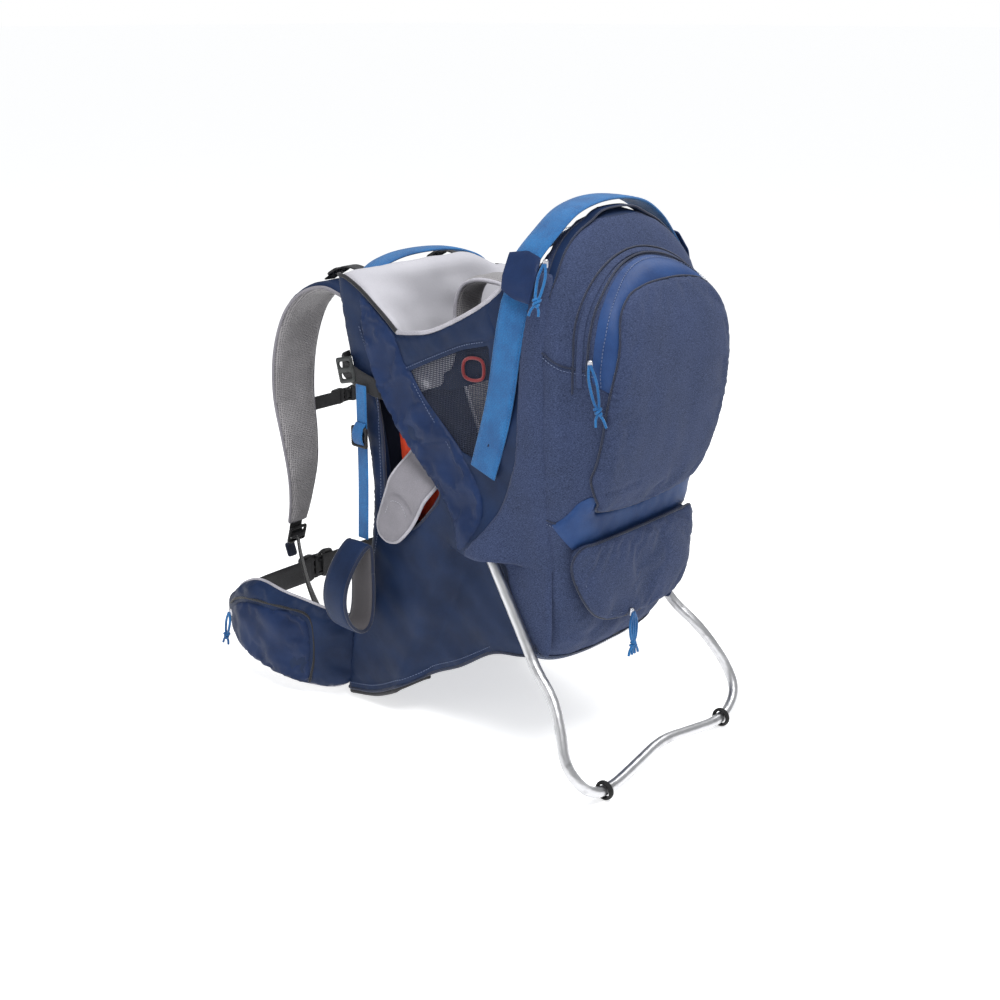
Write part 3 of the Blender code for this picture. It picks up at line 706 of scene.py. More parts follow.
BULGE = bulge_table()


def pocket_bulge(uv):
    """How far the filled rear pocket stands out behind the bag."""
    i, j = np.abs(uv[:, 0]) / BULGE_STEP, (uv[:, 1] - 0.330) / BULGE_STEP
    i, j = np.clip(i, 0, BULGE.shape[0] - 1.001), np.clip(j, 0, BULGE.shape[1] - 1.001)
    a, b = i.astype(int), j.astype(int)
    i, j = i - a, j - b
    low = BULGE[a, b] * (1 - i) + BULGE[a + 1, b] * i
    high = BULGE[a, b + 1] * (1 - i) + BULGE[a + 1, b + 1] * i
    return low * (1 - j) + high * j


def bag(uv):
    """The bag's skin: u is the distance round from mid rear face towards +X, v the height."""
    s = np.clip(np.abs(uv[:, 0]) / RING_STEP, 0, 218.99)
    level = (uv[:, 1] - BAG_LEVELS[0]) / (BAG_LEVELS[1] - BAG_LEVELS[0])
    level = np.clip(level, 0, len(BAG_LEVELS) - 1.001)
    i, j = s.astype(int), level.astype(int)
    a, b = (s - i)[:, None], (level - j)[:, None]
    low = RINGS[j, i] * (1 - a) + RINGS[j, i + 1] * a
    high = RINGS[j + 1, i] * (1 - a) + RINGS[j + 1, i + 1] * a
    p = low * (1 - b) + high * b
    return np.stack([p[:, 0] * np.where(uv[:, 0] < 0, -1, 1), p[:, 1] - pocket_bulge(uv), uv[:, 1]], 1)


PIVOT_Y, PIVOT_Z, PIVOT_SPREAD, PIVOT_SWELL = -0.2505, 0.292, 0.036, 0.0150
PANEL_X = 0.1505              # the flat part of the side panel
FOLD_POINT = (-0.192, 0.285)  # a point on the line behind which the folded stand lies
FOLD_WAY = (-0.922, -0.388)
BESIDE_STAND_X = 0.1275
FRONT_EDGE_R, FRONT_EDGE_X = 0.0115, 0.139
CORNER_DROOP = 0.026


def side_x(y, z):
    """How far out the side fabric stands: over the stand's pivot, in beside its folded tube."""
    pivot = np.hypot(y - PIVOT_Y, z - PIVOT_Z) / PIVOT_SPREAD
    x = PANEL_X + PIVOT_SWELL * np.exp(-pivot ** 2) - 0.32 * np.clip(z - 0.604, 0, 1)
    bag_x = np.where(z < 0.4, np.maximum(BAG_WIDE(z), 0.1265), BAG_WIDE(z)) + 0.0035
    bag_x = bag_x - 0.0065 * smoothstep(-0.328, -0.346, y)
    x += (bag_x - x) * smoothstep(-0.262, -0.322, y)
    behind = (y - FOLD_POINT[0]) * FOLD_WAY[0] + (z - FOLD_POINT[1]) * FOLD_WAY[1]
    x -= (x - BESIDE_STAND_X) * smoothstep(0.0, 0.030, behind) * smoothstep(0.284, 0.275, z)
    past = np.clip(y - front_y(z), 0, 0.0114)
    return np.where(y > front_y(z), FRONT_EDGE_X + np.sqrt(FRONT_EDGE_R**2 - past**2), x)


def sag(x, y):
    """How far the cockpit's front corner droops on the side of positive x."""
    return CORNER_DROOP * smoothstep(0.03, 0.135, x) * smoothstep(-0.150, -0.045, y)


def side_surface(side, lift=0.0):
    return lambda uv: np.stack([side * (side_x(uv[:, 0], uv[:, 1]) + lift), uv[:, 0], uv[:, 1]], 1)


def put(obj, body, slot=None, *nodes):
    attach(obj, body)
    if nodes:
        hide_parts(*nodes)
    return obj


def blended(obj, a, b, start, end, slot=None, *nodes):
    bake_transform(obj)
    if nodes:
        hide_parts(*nodes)
    return obj


def stitch_line(name, surface, lines, out, lift, body, material=THREAD, curve=True):
    paths = [on_surface(surface, line, out, lift, 0.003, False, curve) for line in lines]
    return put(stitches(name, paths, material), body)


# The bag.

ARCH = [(-0.128, 0.505), (-0.1275, 0.540), (-0.124, 0.576), (-0.110, 0.606), (-0.084, 0.630),
        (-0.045, 0.648),
        (0.0, 0.655), (0.045, 0.648), (0.084, 0.630), (0.110, 0.606), (0.124, 0.576), (0.1275, 0.540),
        (0.128, 0.505)]
INNER_ARCH = [(-0.1205, 0.520), (-0.1205, 0.541), (-0.1165, 0.573), (-0.1035, 0.601), (-0.079, 0.6235),
              (-0.043, 0.641), (0.0, 0.648), (0.043, 0.641), (0.079, 0.6235), (0.1035, 0.601),
              (0.1165, 0.573),
              (0.1205, 0.541), (0.1205, 0.520)]
NYLON_ARCH = [(-0.100, 0.506), (-0.112, 0.511), (-0.1185, 0.520), (-0.1185, 0.541), (-0.1145, 0.572),
              (-0.1020, 0.5995), (-0.078, 0.622), (-0.042, 0.639), (0.0, 0.646), (0.042, 0.639),
              (0.078, 0.622),
              (0.1020, 0.5995), (0.1145, 0.572), (0.1185, 0.541), (0.1185, 0.520), (0.112, 0.511),
              (0.100, 0.506),
              (0.0, 0.500)]
PANEL = [(-0.109, 0.398), (-0.110, 0.420), (-0.1115, 0.486), (-0.1075, 0.538), (-0.097, 0.586),
         (-0.073, 0.611),
         (-0.040, 0.620), (0.0, 0.622), (0.040, 0.620), (0.073, 0.611), (0.097, 0.586), (0.1075, 0.538),
         (0.1115, 0.486), (0.110, 0.420), (0.109, 0.398), (0.098, 0.372), (0.080, 0.354), (0.0, 0.344),
         (-0.080, 0.354), (-0.098, 0.372)]
FLAP = [(-0.108, 0.309), (-0.075, 0.312), (0.0, 0.312), (0.075, 0.312), (0.108, 0.309), (0.118, 0.280),
        (0.116, 0.243), (0.106, 0.214), (0.080, 0.200), (0.030, 0.197), (-0.020, 0.199), (-0.065, 0.210),
        (-0.095, 0.236), (-0.113, 0.278)]


CLOTH_FRAMES = 20
CLOTH_STIFFNESS, CLOTH_BENDING = 12, 0.4


def settle(obj, pressure=2.2, slack=0.05, cap=0.0030):
    """Swell and wrinkle a sewn piece as cloth with its rim held; no point moves more than cap."""
    mesh = obj.data
    rest = np.zeros(len(mesh.vertices) * 3)
    mesh.vertices.foreach_get("co", rest)
    rest = rest.reshape(-1, 3)
    half = len(rest) // 2
    depth = np.linalg.norm(rest[:half] - rest[half:], axis=1)
    free = np.clip((depth / np.percentile(depth, 90) - 0.45) / 0.35, 0, 1)
    held = obj.vertex_groups.new(name="held")
    for index, value in enumerate(free):
        held.add([index], 1 - float(value), "REPLACE")
    held.add(list(range(half, 2 * half)), 1.0, "REPLACE")
    cloth = obj.modifiers.new("cloth", "CLOTH")
    cloth.settings.quality = 4
    cloth.settings.mass = 0.25
    cloth.settings.tension_stiffness = cloth.settings.compression_stiffness = CLOTH_STIFFNESS
    cloth.settings.bending_stiffness = CLOTH_BENDING
    cloth.settings.shrink_min = -slack
    cloth.settings.use_pressure = True
    cloth.settings.uniform_pressure_force = pressure
    cloth.settings.vertex_group_mass = "held"
    cloth.settings.effector_weights.gravity = 0
    cloth.collision_settings.use_collision = False
    scene = bpy.context.scene
    for number in range(1, CLOTH_FRAMES + 1):
        scene.frame_set(number)
    shaped = obj.evaluated_get(bpy.context.evaluated_depsgraph_get())
    found = np.zeros(len(rest) * 3)
    shaped.data.vertices.foreach_get("co", found)
    obj.modifiers.remove(cloth)
    obj.vertex_groups.remove(held)
    scene.frame_set(1)
    move = found.reshape(-1, 3) - rest
    size = np.maximum(np.linalg.norm(move, axis=1), 1e-9)[:, None]
    move *= cap * np.tanh(size / cap) / size
    mesh.vertices.foreach_set("co", (rest + move).ravel())
    mesh.update()
    return obj


def bag_body():
    """The bag's closed skin, with loose vertical folds, and a nylon foot below its heathered cloth."""
    levels, around = 190, 260
    verts, uv = [], []
    for z in np.linspace(0.128, 0.699, levels):
        total = min(half_ring(z)[1], 0.438)
        s = np.linspace(-total, total, around + 1)[:-1]
        grid = np.stack([s, np.full(around, z)], 1)
        here, normal = facing(bag, grid, 1)
        normal[0] = (0, 1, 0)
        calm = smoothstep(0.128, 0.18, z) * smoothstep(0.699, 0.66, z)
        calm = calm * (1 - 0.85 * smoothstep(0.135, 0.115, np.abs(s)) * smoothstep(0.33, 0.36, z))
        loose = 0.0017 * ripple(here * (1.0, 1.0, 0.35), 0.045, 3) + 0.0009 * ripple(here, 0.022, 4)
        verts.append(here + normal * (loose * calm)[:, None])
        uv.append(grid)
    verts, uv = np.vstack(verts), np.vstack(uv)
    faces, slots = [], []
    for i in range(levels - 1):
        for j in range(around):
            k = (j + 1) % around
            faces.append((i * around + j, i * around + k, (i + 1) * around + k, (i + 1) * around + j))
            s, z = uv[i * around + j]
            slots.append(1 if z < 0.150 + 0.10 * max(0.0, abs(s) - 0.10) or z > 0.688 else 0)
    faces.append(tuple(range(around))[::-1])
    faces.append(tuple((levels - 1) * around + j for j in range(around)))
    slots += [1, 1]
    obj = new_object("bag_body", verts, faces, uv, (HEATHER, NAVY), slots)
    put(obj, "frame", "navy_heather", "pack_bag")


def bag_seams():
    """Dark seam lines on the bag's cloth, and the zip over its crown."""
    lines = {
        "side_seam": [(-0.205, 0.572), (-0.165, 0.552), (-0.140, 0.538), (-0.114, 0.530), (-0.100, 0.517),
                      (-0.088, 0.511)],
        "low_seam": [(-0.215, 0.372), (-0.176, 0.353), (-0.137, 0.344)],
        "far_low_seam": [(0.215, 0.372), (0.176, 0.353), (0.137, 0.344)],
        "foot_seam": [(-0.250, 0.168), (-0.180, 0.158), (-0.08, 0.151), (0.08, 0.151), (0.180, 0.158),
                      (0.25, 0.168)],
    }
    for name, line in lines.items():
        put(piping(name, bag, line, 1, 0.0006, 0.0010, NAVY_BIND, False), "frame", "navy_heather")
        shifted = [(u, v - 0.005) for u, v in line]
        stitch_line(name + "_thread", bag, [shifted], 1, 0.0010, "frame")
    half = [(BAG_WIDE(z) + 0.0002, -0.3395 + 0.010 * smoothstep(0.62, 0.68, z), z)
            for z in (0.612, 0.630, 0.648, 0.664, 0.678, 0.689)] + [(0.030, -0.328, 0.6975),
                    (0.0, -0.328, 0.7000)]
    crown = smooth_path([(-x, y, z) for x, y, z in half] + half[-2::-1], 0.004)
    lane = sweep("crown_zip_lane", crown, strap_section(0.012, 0.0022), (0, 1, 0), materials=(NAVY,))
    put(lane, "frame", "navy_nylon")
    for number, offset in enumerate((-0.0060, 0.0060)):
        welt = cord(f"crown_welt_{number}", crown[::3] + (0, offset, 0.0004), 0.0012, NAVY_BIND, step=0.004)
        put(welt, "frame", "navy_nylon")


def pockets():
    arch = pad("pocket_nylon", NYLON_ARCH, bag, 0.0022, 0.001, reach=0.006, step=0.0045, out=1,
               folds=(0.0005, 0.06), pucker=0.0004, seed=11, materials=(NAVY_BAND,))
    put(arch, "frame", "navy_nylon")
    panel = pad("pocket_panel", PANEL, bag, 0.0065, 0.001, edge=0.001, reach=0.016, step=0.0045, out=1,
                folds=(0.0009, 0.06), pucker=0.0009, seed=12, materials=(HEATHER,),
                seams=[[(-0.107, 0.386), (-0.080, 0.389), (-0.045, 0.390)]], seam_depth=0.35,
                seam_width=0.003, lift=0.0016)
    put(settle(panel), "frame", "navy_heather", "front_pocket")
    put(piping("panel_piping", bag, PANEL, 1, 0.0040, 0.0012, NAVY_BIND), "frame", "navy_nylon")
    tape = smooth_path([((a[0] + b[0]) / 2, (a[1] + b[1]) / 2) for a, b in zip(ARCH, INNER_ARCH)], 0.004)
    place, normal = facing(bag, tape, 1)
    across = np.cross(np.gradient(place, axis=0), normal)
    lane = sweep("pocket_zip_lane", place + normal * 0.001, strap_section(0.008, 0.0020), across,
                 materials=(HEATHER,))
    put(lane, "frame", "navy_nylon")
    put(piping("pocket_zip_welt", bag, ARCH, 1, 0.0014, 0.0011, NAVY_BIND, False), "frame", "navy_nylon")
    put(piping("pocket_zip_edge", bag, INNER_ARCH, 1, 0.0022, 0.0013, NAVY_BIND, False), "frame",
        "navy_nylon")
    nylon_threads = [[(u * 0.955, v - 0.005) for u, v in INNER_ARCH]]
    stitch_line("pocket_thread", bag, nylon_threads, 1, 0.0030, "frame")
    band = pad("low_band", [(-0.142, 0.341), (-0.118, 0.360), (-0.103, 0.378), (-0.092, 0.362), (-0.082,
            0.348),
                            (0.0, 0.341), (0.082, 0.348), (0.092, 0.362), (0.103, 0.378), (0.118, 0.360),
                            (0.142, 0.341), (0.126, 0.322), (0.114, 0.308), (0.0, 0.306), (-0.114, 0.308),
                            (-0.126, 0.322)],
               bag, 0.0035, reach=0.008, folds=(0.0008, 0.03), pucker=0.0006, seed=13,
               materials=(NAVY_BAND,),
               curve=False)
    put(band, "frame", "navy_nylon")
    body = pad("low_pocket_body", FLAP, bag, 0.013, 0.002, reach=0.020, folds=(0.0014, 0.05), pucker=0.0006,
               seed=14, materials=(HEATHER,))
    put(body, "frame", "navy_heather")
    wide = [(u * 1.02, v + (0.256 - v) * -0.02) for u, v in FLAP]
    flap = pad("low_pocket_flap", wide, bag, 0.0065, 0.0, edge=0.001, reach=0.022, lift=0.0105,
               folds=(0.0016, 0.05), pucker=0.0010, seed=15, materials=(HEATHER,), stretch=(0.6, 1, 1))
    put(settle(flap), "lower_pocket", "navy_heather", "lower_pocket")
    edge = piping("low_pocket_binding", bag, wide, 1, 0.0116, 0.0015, NAVY_BIND)
    put(edge, "lower_pocket", "navy_nylon")
    inner = [(u * 0.93, 0.256 + (v - 0.256) * 0.90) for u, v in FLAP]
    stitch_line("low_pocket_thread", bag, [inner[4:] + inner[:1]], 1, 0.0155, "lower_pocket")


# The cockpit's sides and skirt.

RIM = [(-0.005, 0.600), (-0.022, 0.598), (-0.050, 0.5845), (-0.086, 0.5605), (-0.112, 0.541),
       (-0.140, 0.5445),
       (-0.173, 0.552), (-0.224, 0.576), (-0.268, 0.603), (-0.2885, 0.628)]
REAR_EDGE = [(-0.318, 0.634), (-0.321, 0.610), (-0.318, 0.520), (-0.318, 0.424), (-0.320, 0.375),
             (-0.326, 0.330),
             (-0.335, 0.300), (-0.342, 0.270), (-0.340, 0.200), (-0.330, 0.166)]
HEM = [(-0.322, 0.158), (-0.296, 0.151), (-0.249, 0.139), (-0.194, 0.103), (-0.150, 0.080), (-0.099, 0.049),
       (-0.050, 0.024), (0.009, 0.010)]
FLANK = [(-0.316, 0.634), (-0.320, 0.610), (-0.313, 0.520), (-0.307, 0.430), (-0.298, 0.392),
         (-0.280, 0.345),
         (-0.252, 0.305), (-0.224, 0.272), (-0.246, 0.270), (-0.272, 0.266), (-0.281, 0.225),
         (-0.288, 0.180),
         (-0.318, 0.172), (-0.346, 0.172), (-0.347, 0.300), (-0.347, 0.500), (-0.346, 0.610),
         (-0.340, 0.634)]
LEG_HOLE = [(-0.066, 0.474), (-0.074, 0.440), (-0.080, 0.400), (-0.082, 0.350), (-0.086, 0.310),
            (-0.104, 0.288),
            (-0.132, 0.286), (-0.160, 0.312), (-0.184, 0.348), (-0.156, 0.380), (-0.121, 0.414),
            (-0.094, 0.448)]
WINDOW_HOLE = [(-0.128, 0.493), (-0.172, 0.514), (-0.225, 0.537), (-0.266, 0.548), (-0.272, 0.500),
               (-0.262, 0.440), (-0.240, 0.404), (-0.214, 0.410), (-0.182, 0.442), (-0.150, 0.470)]
BAND_OUTLINE = [(-0.048, 0.580), (-0.047, 0.556), (-0.050, 0.530), (-0.059, 0.498), (-0.073, 0.467),
                (-0.089, 0.442), (-0.113, 0.413), (-0.150, 0.379), (-0.181, 0.347), (-0.206, 0.316),
                (-0.224, 0.284), (-0.246, 0.300), (-0.258, 0.330), (-0.252, 0.366), (-0.228, 0.400),
                (-0.198, 0.430), (-0.167, 0.456), (-0.143, 0.482), (-0.119, 0.518), (-0.109, 0.536),
                (-0.088, 0.554)]
SIDE_GRAIN = ((1.0, 0.0, 0.0), (0.0, 0.57, -0.28), (0.0, -0.28, 0.83))


def side_fabric(side):
    surface = side_surface(side)
    rim = [(y, z - sag(side, y)) for y, z in RIM]
    front = [(front_y(z) + 0.0113, z) for z in np.linspace(0.012, rim[0][1] - 0.002, 60)]
    outline = np.vstack([front, smooth_path(rim, 0.004), smooth_path(REAR_EDGE, 0.004),
                         smooth_path(HEM, 0.004)])
    sheet = pad(side_name("side_fabric", side), outline, surface, 0.0016, 0.0010, edge=0.0012, reach=0.004,
                holes=(LEG_HOLE, WINDOW_HOLE), step=0.0042, out=side, folds=(0.0030, 0.034), pucker=0.0012,
                seed=21 + side, materials=(NAVY, DEEP), curve=False, stretch=SIDE_GRAIN)
    put(sheet, "frame", "navy_nylon", side_name("side_panel", side))
    window = pad(side_name("window", side), WINDOW_HOLE, side_surface(side, -0.001), 0.0003, 0.0003,
                 edge=0.0003,
                 out=side, folds=(0.0010, 0.04), materials=(WINDOW,), seed=31)
    put(window, "frame", "navy_nylon")
    patch = pad(side_name("window_lining", side),
                [(-0.127, 0.495), (-0.139, 0.508), (-0.168, 0.519), (-0.204, 0.531), (-0.207, 0.522),
                 (-0.200, 0.508), (-0.189, 0.501), (-0.184, 0.486), (-0.158, 0.475), (-0.140, 0.467),
                 (-0.131, 0.478)],
                side_surface(side, -0.0030), 0.001, out=side, materials=(LINING,), seed=32)
    put(patch, "frame", "grey_lining")
    flank = pad(side_name("side_flank", side), FLANK, surface, 0.0046, 0.0006, edge=0.0006, reach=0.006,
                out=side,
                folds=(0.0012, 0.04), pucker=0.0006, seed=33, materials=(HEATHER,), stretch=(1, 1, 0.5))
    put(flank, "frame", "navy_heather")
    loop = cord(side_name("red_loop", side),
                [(side * 0.1512, y, z) for y, z in [(-0.226, 0.506), (-0.226, 0.522), (-0.238, 0.529),
                                                    (-0.256, 0.527), (-0.257, 0.508), (-0.240, 0.502)]],
                0.0021, RED_CORD, True)
    put(loop, "frame", "blue_webbing")
    band = pad(side_name("side_band", side), BAND_OUTLINE, surface, 0.0050, 0.0005, edge=0.0004, reach=0.014,
               out=side,
               folds=(0.0014, 0.035), pucker=0.0010, seed=41, materials=(NAVY_SOFT,))
    put(settle(band, 2.5, 0.08, 0.003), "frame", "navy_nylon")
    yoke = pad(side_name("rim_yoke", side),
               [(-0.106, 0.536), (-0.140, 0.540), (-0.173, 0.550), (-0.224, 0.575), (-0.268, 0.602),
                (-0.280, 0.560), (-0.262, 0.551), (-0.225, 0.541), (-0.172, 0.518), (-0.126, 0.498)],
               surface, 0.0035, 0.0005, reach=0.008, out=side, folds=(0.0010, 0.03), pucker=0.0006, seed=42,
               materials=(NAVY,), curve=False)
    put(yoke, "frame", "navy_nylon")
    binding = piping(side_name("rim_binding", side), surface, rim[4:], side, 0.0012, 0.0028, BINDING, False)
    put(binding, "frame", "grey_lining")
    dark = piping(side_name("rim_dark", side), surface, rim[:5], side, 0.0012, 0.0028, BLACK_BIND, False)
    put(dark, "frame", "black_webbing")
    hem = piping(side_name("hem_binding", side), surface, HEM, side, 0.0006, 0.0022, NAVY_BIND, False)
    put(hem, "frame", "navy_nylon")
    base = piping(side_name("base_strip", side), surface, [(-0.130, 0.064), (-0.099, 0.044), (-0.050, 0.019),
                                                          (0.007, 0.005)], side, -0.0035, 0.0040, BLACK_BIND,
                                                          False)
    put(base, "frame", "black_rubber")
    hole = piping(side_name("leg_binding", side), surface, LEG_HOLE, side, 0.0006, 0.0022, NAVY_BIND)
    put(hole, "frame", "navy_nylon")
    seam = piping(side_name("rear_seam", side), surface, REAR_EDGE[1:7], side, 0.0014, 0.0014, NAVY_BIND,
                  False)
    put(seam, "frame", "navy_nylon")
    threads = [[(u, v + 0.010) for u, v in HEM[2:]],
               [(-0.128, 0.4985), (-0.172, 0.519), (-0.225, 0.542), (-0.264, 0.553)],
               [(-0.218, 0.394), (-0.190, 0.425), (-0.163, 0.454), (-0.139, 0.484)],
               [(-0.044, 0.54), (-0.072, 0.47), (-0.076, 0.40), (-0.074, 0.30), (-0.050, 0.20),
                (-0.020, 0.10)]]
    stitch_line(side_name("side_thread", side), surface, threads, side, 0.0034, "frame")


def front_posts():
    for side in (LEFT, RIGHT):
        z = np.linspace(0.036, 0.556, 90)
        path = np.stack([np.full(90, side * 0.139), front_y(z), z], 1)
        sleeve = sweep(side_name("post_sleeve", side), path, round_section(0.0106, 14), (1, 0, 0),
                       materials=(NAVY,))
        put(sleeve, "frame", "navy_nylon")


def back_panel():
    surface, length = along_path([(front_y(z) + 0.001, z) for z in np.linspace(0.045, 0.560, 14)], "YZ")
    middle = length / 2
    panel = pad("back_panel_mesh", rounded(length - 0.004, 0.262, 0.02, (middle, 0)), surface, 0.0030, 0.003,
                reach=0.010, step=0.005, out=1, folds=(0.0012, 0.05), seed=51, materials=(DARK_MESH, DEEP),
                seams=[[(0.02, v), (length - 0.02, v)] for v in (-0.075, 0.0, 0.075)], seam_depth=0.7)
    put(panel, "frame", "navy_nylon", "back_panel")
    floor, floor_length = along_path([(0.000, 0.034), (-0.060, 0.052), (-0.130, 0.086), (-0.190, 0.126),
                                      (-0.226, 0.175), (-0.246, 0.235), (-0.262, 0.300)], "YZ")
    tub = pad("seat_tub", rounded(floor_length, 0.252, 0.01, (floor_length / 2, 0)), floor, 0.002, 0.002,
              step=0.006,
              out=1, folds=(0.0016, 0.05), seed=52, materials=(NAVY,))
    put(tub, "frame", "navy_nylon", "lower_bag")


def bent(centre_path, edge_path, half_width):
    """A surface across X whose cross-section changes from the middle to the sides."""
    inner, outer = smooth_path(centre_path, 0.002), smooth_path(edge_path, 0.002)
    t = np.linspace(0, 1, 80)
    inner = np.stack([np.interp(t, np.linspace(0, 1, len(inner)), inner[:, i]) for i in range(2)], 1)
    outer = np.stack([np.interp(t, np.linspace(0, 1, len(outer)), outer[:, i]) for i in range(2)], 1)

    def surface(uv):
        w = np.clip(np.abs(uv[:, 0]) / half_width, 0, 1.05)[:, None] ** 2.2
        at = uv[:, 1] / 0.16
        a = np.stack([np.interp(at, t, inner[:, i]) for i in range(2)], 1)
        b = np.stack([np.interp(at, t, outer[:, i]) for i in range(2)], 1)
        p = a * (1 - w) + b * w
        return np.stack([uv[:, 0], p[:, 0], p[:, 1] - sag(uv[:, 0], p[:, 0])], 1)

    return surface


def cockpit():
    """The lining round the cockpit, and the pad that the child's face rests on."""
    plan = smooth_path([(-0.139, -0.300), (-0.1400, -0.200), (-0.1400, -0.100), (-0.135, -0.066),
                        (-0.112, -0.052),
                        (-0.060, -0.050), (0.060, -0.050), (0.112, -0.052), (0.135, -0.066),
                        (0.1400, -0.100),
                        (0.1400, -0.200), (0.139, -0.300)], 0.003)
    run = np.concatenate([[0], np.cumsum(np.linalg.norm(np.diff(plan, axis=0), axis=1))])
    top = stations([(-0.308, 0.660), (-0.295, 0.636), (-0.272, 0.604), (-0.224, 0.574), (-0.173, 0.550),
                    (-0.140, 0.5425), (-0.112, 0.538), (-0.086, 0.556), (-0.050, 0.572), (-0.040, 0.575)])

    def lining(uv):
        x = np.interp(uv[:, 0], run, plan[:, 0])
        y = np.interp(uv[:, 0], run, plan[:, 1])
        return np.stack([x, y, uv[:, 1]], 1)

    upper = [(r, float(top(y) - sag(x, y))) for r, (x, y) in list(zip(run, plan))[::4]]
    lower = [(run[-1], 0.520), (run[-1] * 0.86, 0.480), (run[-1] * 0.5, 0.440), (run[-1] * 0.14, 0.480),
             (0, 0.520)]
    liner = pad("cockpit_lining", even_path(upper + lower, 0.004, True), lining, 0.004, 0.001, reach=0.010,
                step=0.0055, out=1, folds=(0.0014, 0.05), seed=61, materials=(LINING, NAVY), curve=False)
    put(liner, "frame", "grey_lining")
    surface = bent([(-0.028, 0.591), (-0.036, 0.601), (-0.046, 0.599), (-0.050, 0.580), (-0.055, 0.540),
                    (-0.060, 0.490), (-0.064, 0.450)],
                   [(-0.006, 0.5965), (-0.022, 0.597), (-0.048, 0.584), (-0.072, 0.569), (-0.092, 0.555),
                    (-0.110, 0.542), (-0.122, 0.525)], 0.150)
    outline = [(-0.150, 0.004), (-0.151, 0.080), (-0.149, 0.132), (-0.142, 0.150), (-0.110, 0.152),
               (0.110, 0.152),
               (0.142, 0.150), (0.149, 0.132), (0.151, 0.080), (0.150, 0.004), (0.100, 0.002), (0.0, 0.000),
               (-0.100, 0.002)]
    drool = pad("drool_pad_cloth", outline, surface, 0.0085, 0.003, reach=0.020, step=0.0045, out=-1,
                folds=(0.0016, 0.05), pucker=0.0006, seed=62, materials=(LINING,), curve=False)
    put(drool, "frame", "grey_lining", "drool_pad")
    bind = piping("drool_pad_binding", surface, outline, -1, 0.0015, 0.0022, BINDING, True, False)
    put(bind, "frame", "grey_lining")


def tongue(side):
    """The padded wing of the seat, which comes out over the leg opening's front corner."""

    def surface(uv):
        tuck = smoothstep(0.335, 0.385, uv[:, 1] - 0.3 * (uv[:, 0] + 0.130))
        return np.stack([side * (0.1580 - 0.024 * tuck), uv[:, 0], uv[:, 1]], 1)

    outline = [(-0.081, 0.302), (-0.075, 0.284), (-0.078, 0.269), (-0.089, 0.262), (-0.101, 0.262),
               (-0.115, 0.268),
               (-0.139, 0.294), (-0.158, 0.326), (-0.171, 0.352), (-0.168, 0.372), (-0.152, 0.388),
               (-0.130, 0.398),
               (-0.110, 0.372), (-0.094, 0.334)]
    wing = pad(side_name("seat_wing_cloth", side), outline, surface, 0.0065, 0.004, reach=0.010, step=0.0035,
               out=side, folds=(0.0010, 0.03), pucker=0.0005, seed=71, materials=(PAD_GREY,),
               seams=[[(-0.092, 0.312), (-0.106, 0.330), (-0.126, 0.328), (-0.140, 0.312)]], seam_depth=0.6)
    put(wing, "seat", "grey_lining", side_name("seat_wing", side))
    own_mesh(wing)
    edge = piping(side_name("seat_wing_binding", side), surface, outline, side, 0.0012, 0.0024, BINDING)
    put(edge, "seat", "grey_lining")
    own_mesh(edge)
    thread = stitch_line(side_name("seat_wing_thread", side), surface,
                         [[(-0.094, 0.302), (-0.106, 0.321), (-0.124, 0.320), (-0.134, 0.304)]], side,
                         0.0062,
                         "seat", PALE_THREAD)
    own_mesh(thread)
    web = pad(side_name("seat_web", side),
              [(-0.094, 0.300), (-0.092, 0.360), (-0.086, 0.420), (-0.082, 0.452), (-0.110, 0.440),
               (-0.150, 0.400), (-0.190, 0.340), (-0.160, 0.290)],
              lambda uv: np.stack([np.full(len(uv), side * 0.128), uv[:, 0], uv[:, 1]], 1), 0.002, 0.002,
              out=side, folds=(0.003, 0.03), pucker=0.0006, seed=72, materials=(ORANGE, LINING))
    put(web, "seat", "grey_lining")
    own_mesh(web)


